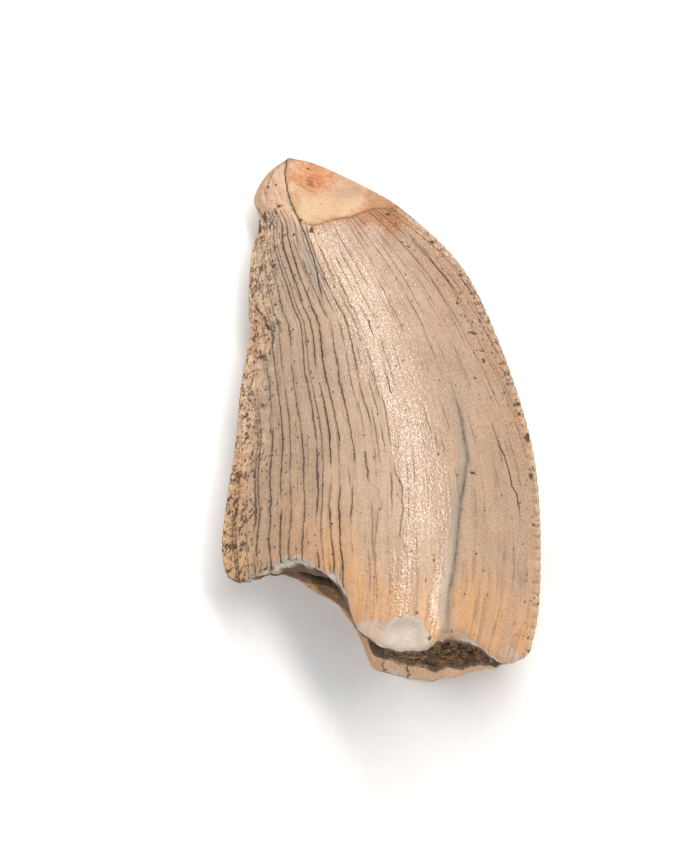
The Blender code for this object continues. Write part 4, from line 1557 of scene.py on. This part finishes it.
rings, plug_middle = sediment_rings()
sediment = closed_sock("packed_sediment", rings[0].mean(axis=0), rings, plug_middle)
print(sediment.name, len(sediment.data.polygons), "faces")

# %% [markdown]
# ### Sand grains
#
# Sand grains stick out of the face of the mud and throw small shadows, which no bump could. Each is a
# closed ball of few faces with its own three radii, dented at random and turned by a random quaternion.
# They are scattered over the face where it lies near the mouth, and all are one mesh. Every grain carries a
# random tone, from dark mudstone to pale quartz, for the material.

# %% Sand grains
GRAINS = 620
GRAIN_SEED = 61
GRAIN_SPAN = (0.0, 5.8)
GRAIN_SIZES = (0.06, 0.17)
LATITUDES, LONGITUDES = 4, 7


def grain_points(centres, radii, random):
    """Points of all grains: centre + radius * (own radii * dent * unit sphere), turned by a quaternion."""
    polar = (np.pi * np.arange(1, LATITUDES + 1) / (LATITUDES + 1))[:, None]
    around = 2 * np.pi * np.arange(LONGITUDES) / LONGITUDES
    ball = [np.sin(polar) * np.cos(around), np.sin(polar) * np.sin(around), np.cos(polar) + 0 * around]
    ball = np.vstack([np.stack(ball, axis=-1).reshape(-1, 3), [0, 0, 1], [0, 0, -1]])
    count = len(centres)
    balls = ball * random.uniform(0.6, 1.2, (count, 1, 3)) * random.uniform(0.8, 1.15, (count, len(ball), 1))
    q = random.normal(size=(count, 1, 4))
    q = q / np.linalg.norm(q, axis=-1, keepdims=True)
    w, v = q[..., :1], q[..., 1:]
    turned = balls + 2 * np.cross(v, np.cross(v, balls) + w * balls)
    return centres[:, None] + turned * radii[:, None, None]


def sand_grains():
    """The grains as one object, scattered over the face of the sediment."""
    random = np.random.default_rng(GRAIN_SEED)
    x = random.uniform(*GRAIN_SPAN, GRAINS)
    share = random.uniform(0.02, 0.98, GRAINS)
    low, high = mouth_side(~LABIAL, x)[1], mouth_side(LABIAL, x)[1]
    z = low + (high - low) * share
    radii = random.uniform(*GRAIN_SIZES, GRAINS) * smooth_step(high - low, 0.1, 0.5)
    centres = np.stack([x, face_level(x, z) + 0.35 * radii, z], axis=-1)
    points = grain_points(centres, radii, random)
    quads, triangles = sock_faces(LATITUDES, LONGITUDES)
    starts = (np.arange(GRAINS) * points.shape[1])[:, None, None]
    quads, triangles = (quads + starts).reshape(-1, 4), (triangles + starts).reshape(-1, 3)
    made = mesh_object("sand_grains", points.reshape(-1, 3), quads, triangles)
    tone = np.repeat(random.uniform(0, 1, GRAINS), points.shape[1])
    made.data.attributes.new("tone", "FLOAT", "POINT").data.foreach_set("value", tone.astype(np.float32))
    return made


grains = sand_grains()
print(grains.name, len(grains.data.polygons), "faces in", GRAINS, "grains")

# %% [markdown]
# ### Colour of the sediment
#
# The mud is dark brown with ochre stains, and patches of noise are painted near black as shade standing
# for its crevices. The grains share its stains and that painted shade, but the tone of each picks its own
# stone first.

# %% Sediment colour
MUD = (0.062, 0.033, 0.014, 1)
MUD_PALE = (0.262, 0.132, 0.052, 1)
OCHRE_STAIN = (0.300, 0.165, 0.050, 1)
GRAIN_DARK = (0.120, 0.062, 0.030, 1)
GRAIN_GREY = (0.260, 0.134, 0.064, 1)
GRAIN_PALE = (0.470, 0.290, 0.165, 1)
CREVICE_SHADE = (0.012, 0.007, 0.004, 1)


def sediment_material(name, toned):
    """Dark mud with ochre stains; on grains, their own tone picks the stone."""
    made, m, place = new_material(name)
    ochre = mottled(m, place, 0.8, spread=0.10)
    grit = m.noise(place, 11.0, 3, 0.7)
    if toned:
        tone = m.number("tone")
        stone = m.blend(m.ramp(tone, 0.10, 0.65), GRAIN_DARK, GRAIN_GREY)
        stone = m.blend(m.ramp(tone, 0.82, 0.98), stone, GRAIN_PALE)
    else:
        stone = m.blend(mottled(m, place, 0.4, detail=4) * 0.5, MUD, MUD_PALE)
    colour = m.coats(
        stone,
        (m.ramp(ochre, 0.6, 1.0) * 0.6, OCHRE_STAIN),
        (m.ramp(grit, 0.45, 0.7, 0.0, 0.6), MUD),
        # painted shade: near-black patches of noise stand for the shadow in crevices
        (m.ramp(m.noise(place, 2.4, 4, 0.65), 0.49, 0.41, 0.0, 0.85), CREVICE_SHADE),
    )
    m.finish(grit * 0.05, {"Base Color": colour, "Roughness": m.ramp(grit, 0.3, 0.7, 0.7, 0.95)})
    return made


sediment.data.materials.append(sediment_material("sandy_mud", toned=False))
grains.data.materials.append(sediment_material("sand", toned=True))
print([m.name for m in bpy.data.materials if m.users])

# %% [markdown]
# ## Table
#
# The table is a sheet of matt white card. It has a faint tooth, so that it isn't one flat number.

# %% Table
CARD_GREY = (0.93, 0.93, 0.925, 1)
CARD_WHITE = (0.96, 0.96, 0.955, 1)

card, c, place = new_material("white_card")
tooth = c.blend(mottled(c, place, 0.8, spread=0.25), CARD_GREY, CARD_WHITE)
c.fill(card.node_tree.nodes["Principled BSDF"], {"Base Color": tooth, "Roughness": 0.9})
TABLE.data.materials.append(card)
print(card.name, "on", TABLE.name)

# %% [markdown]
# ## Joining the frame
#
# Each new surface stands for its solid, which is hidden, and moves with the one body there is.

# %% Joining the frame
PIECES = (
    (crown, "tooth_crown", "fossil_enamel"),
    (sediment, "sediment_fill", "sediment"),
    (grains, "sediment_fill", "sediment"),
)
for piece, node, finish in PIECES:
    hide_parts(node)
    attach(piece, "root")
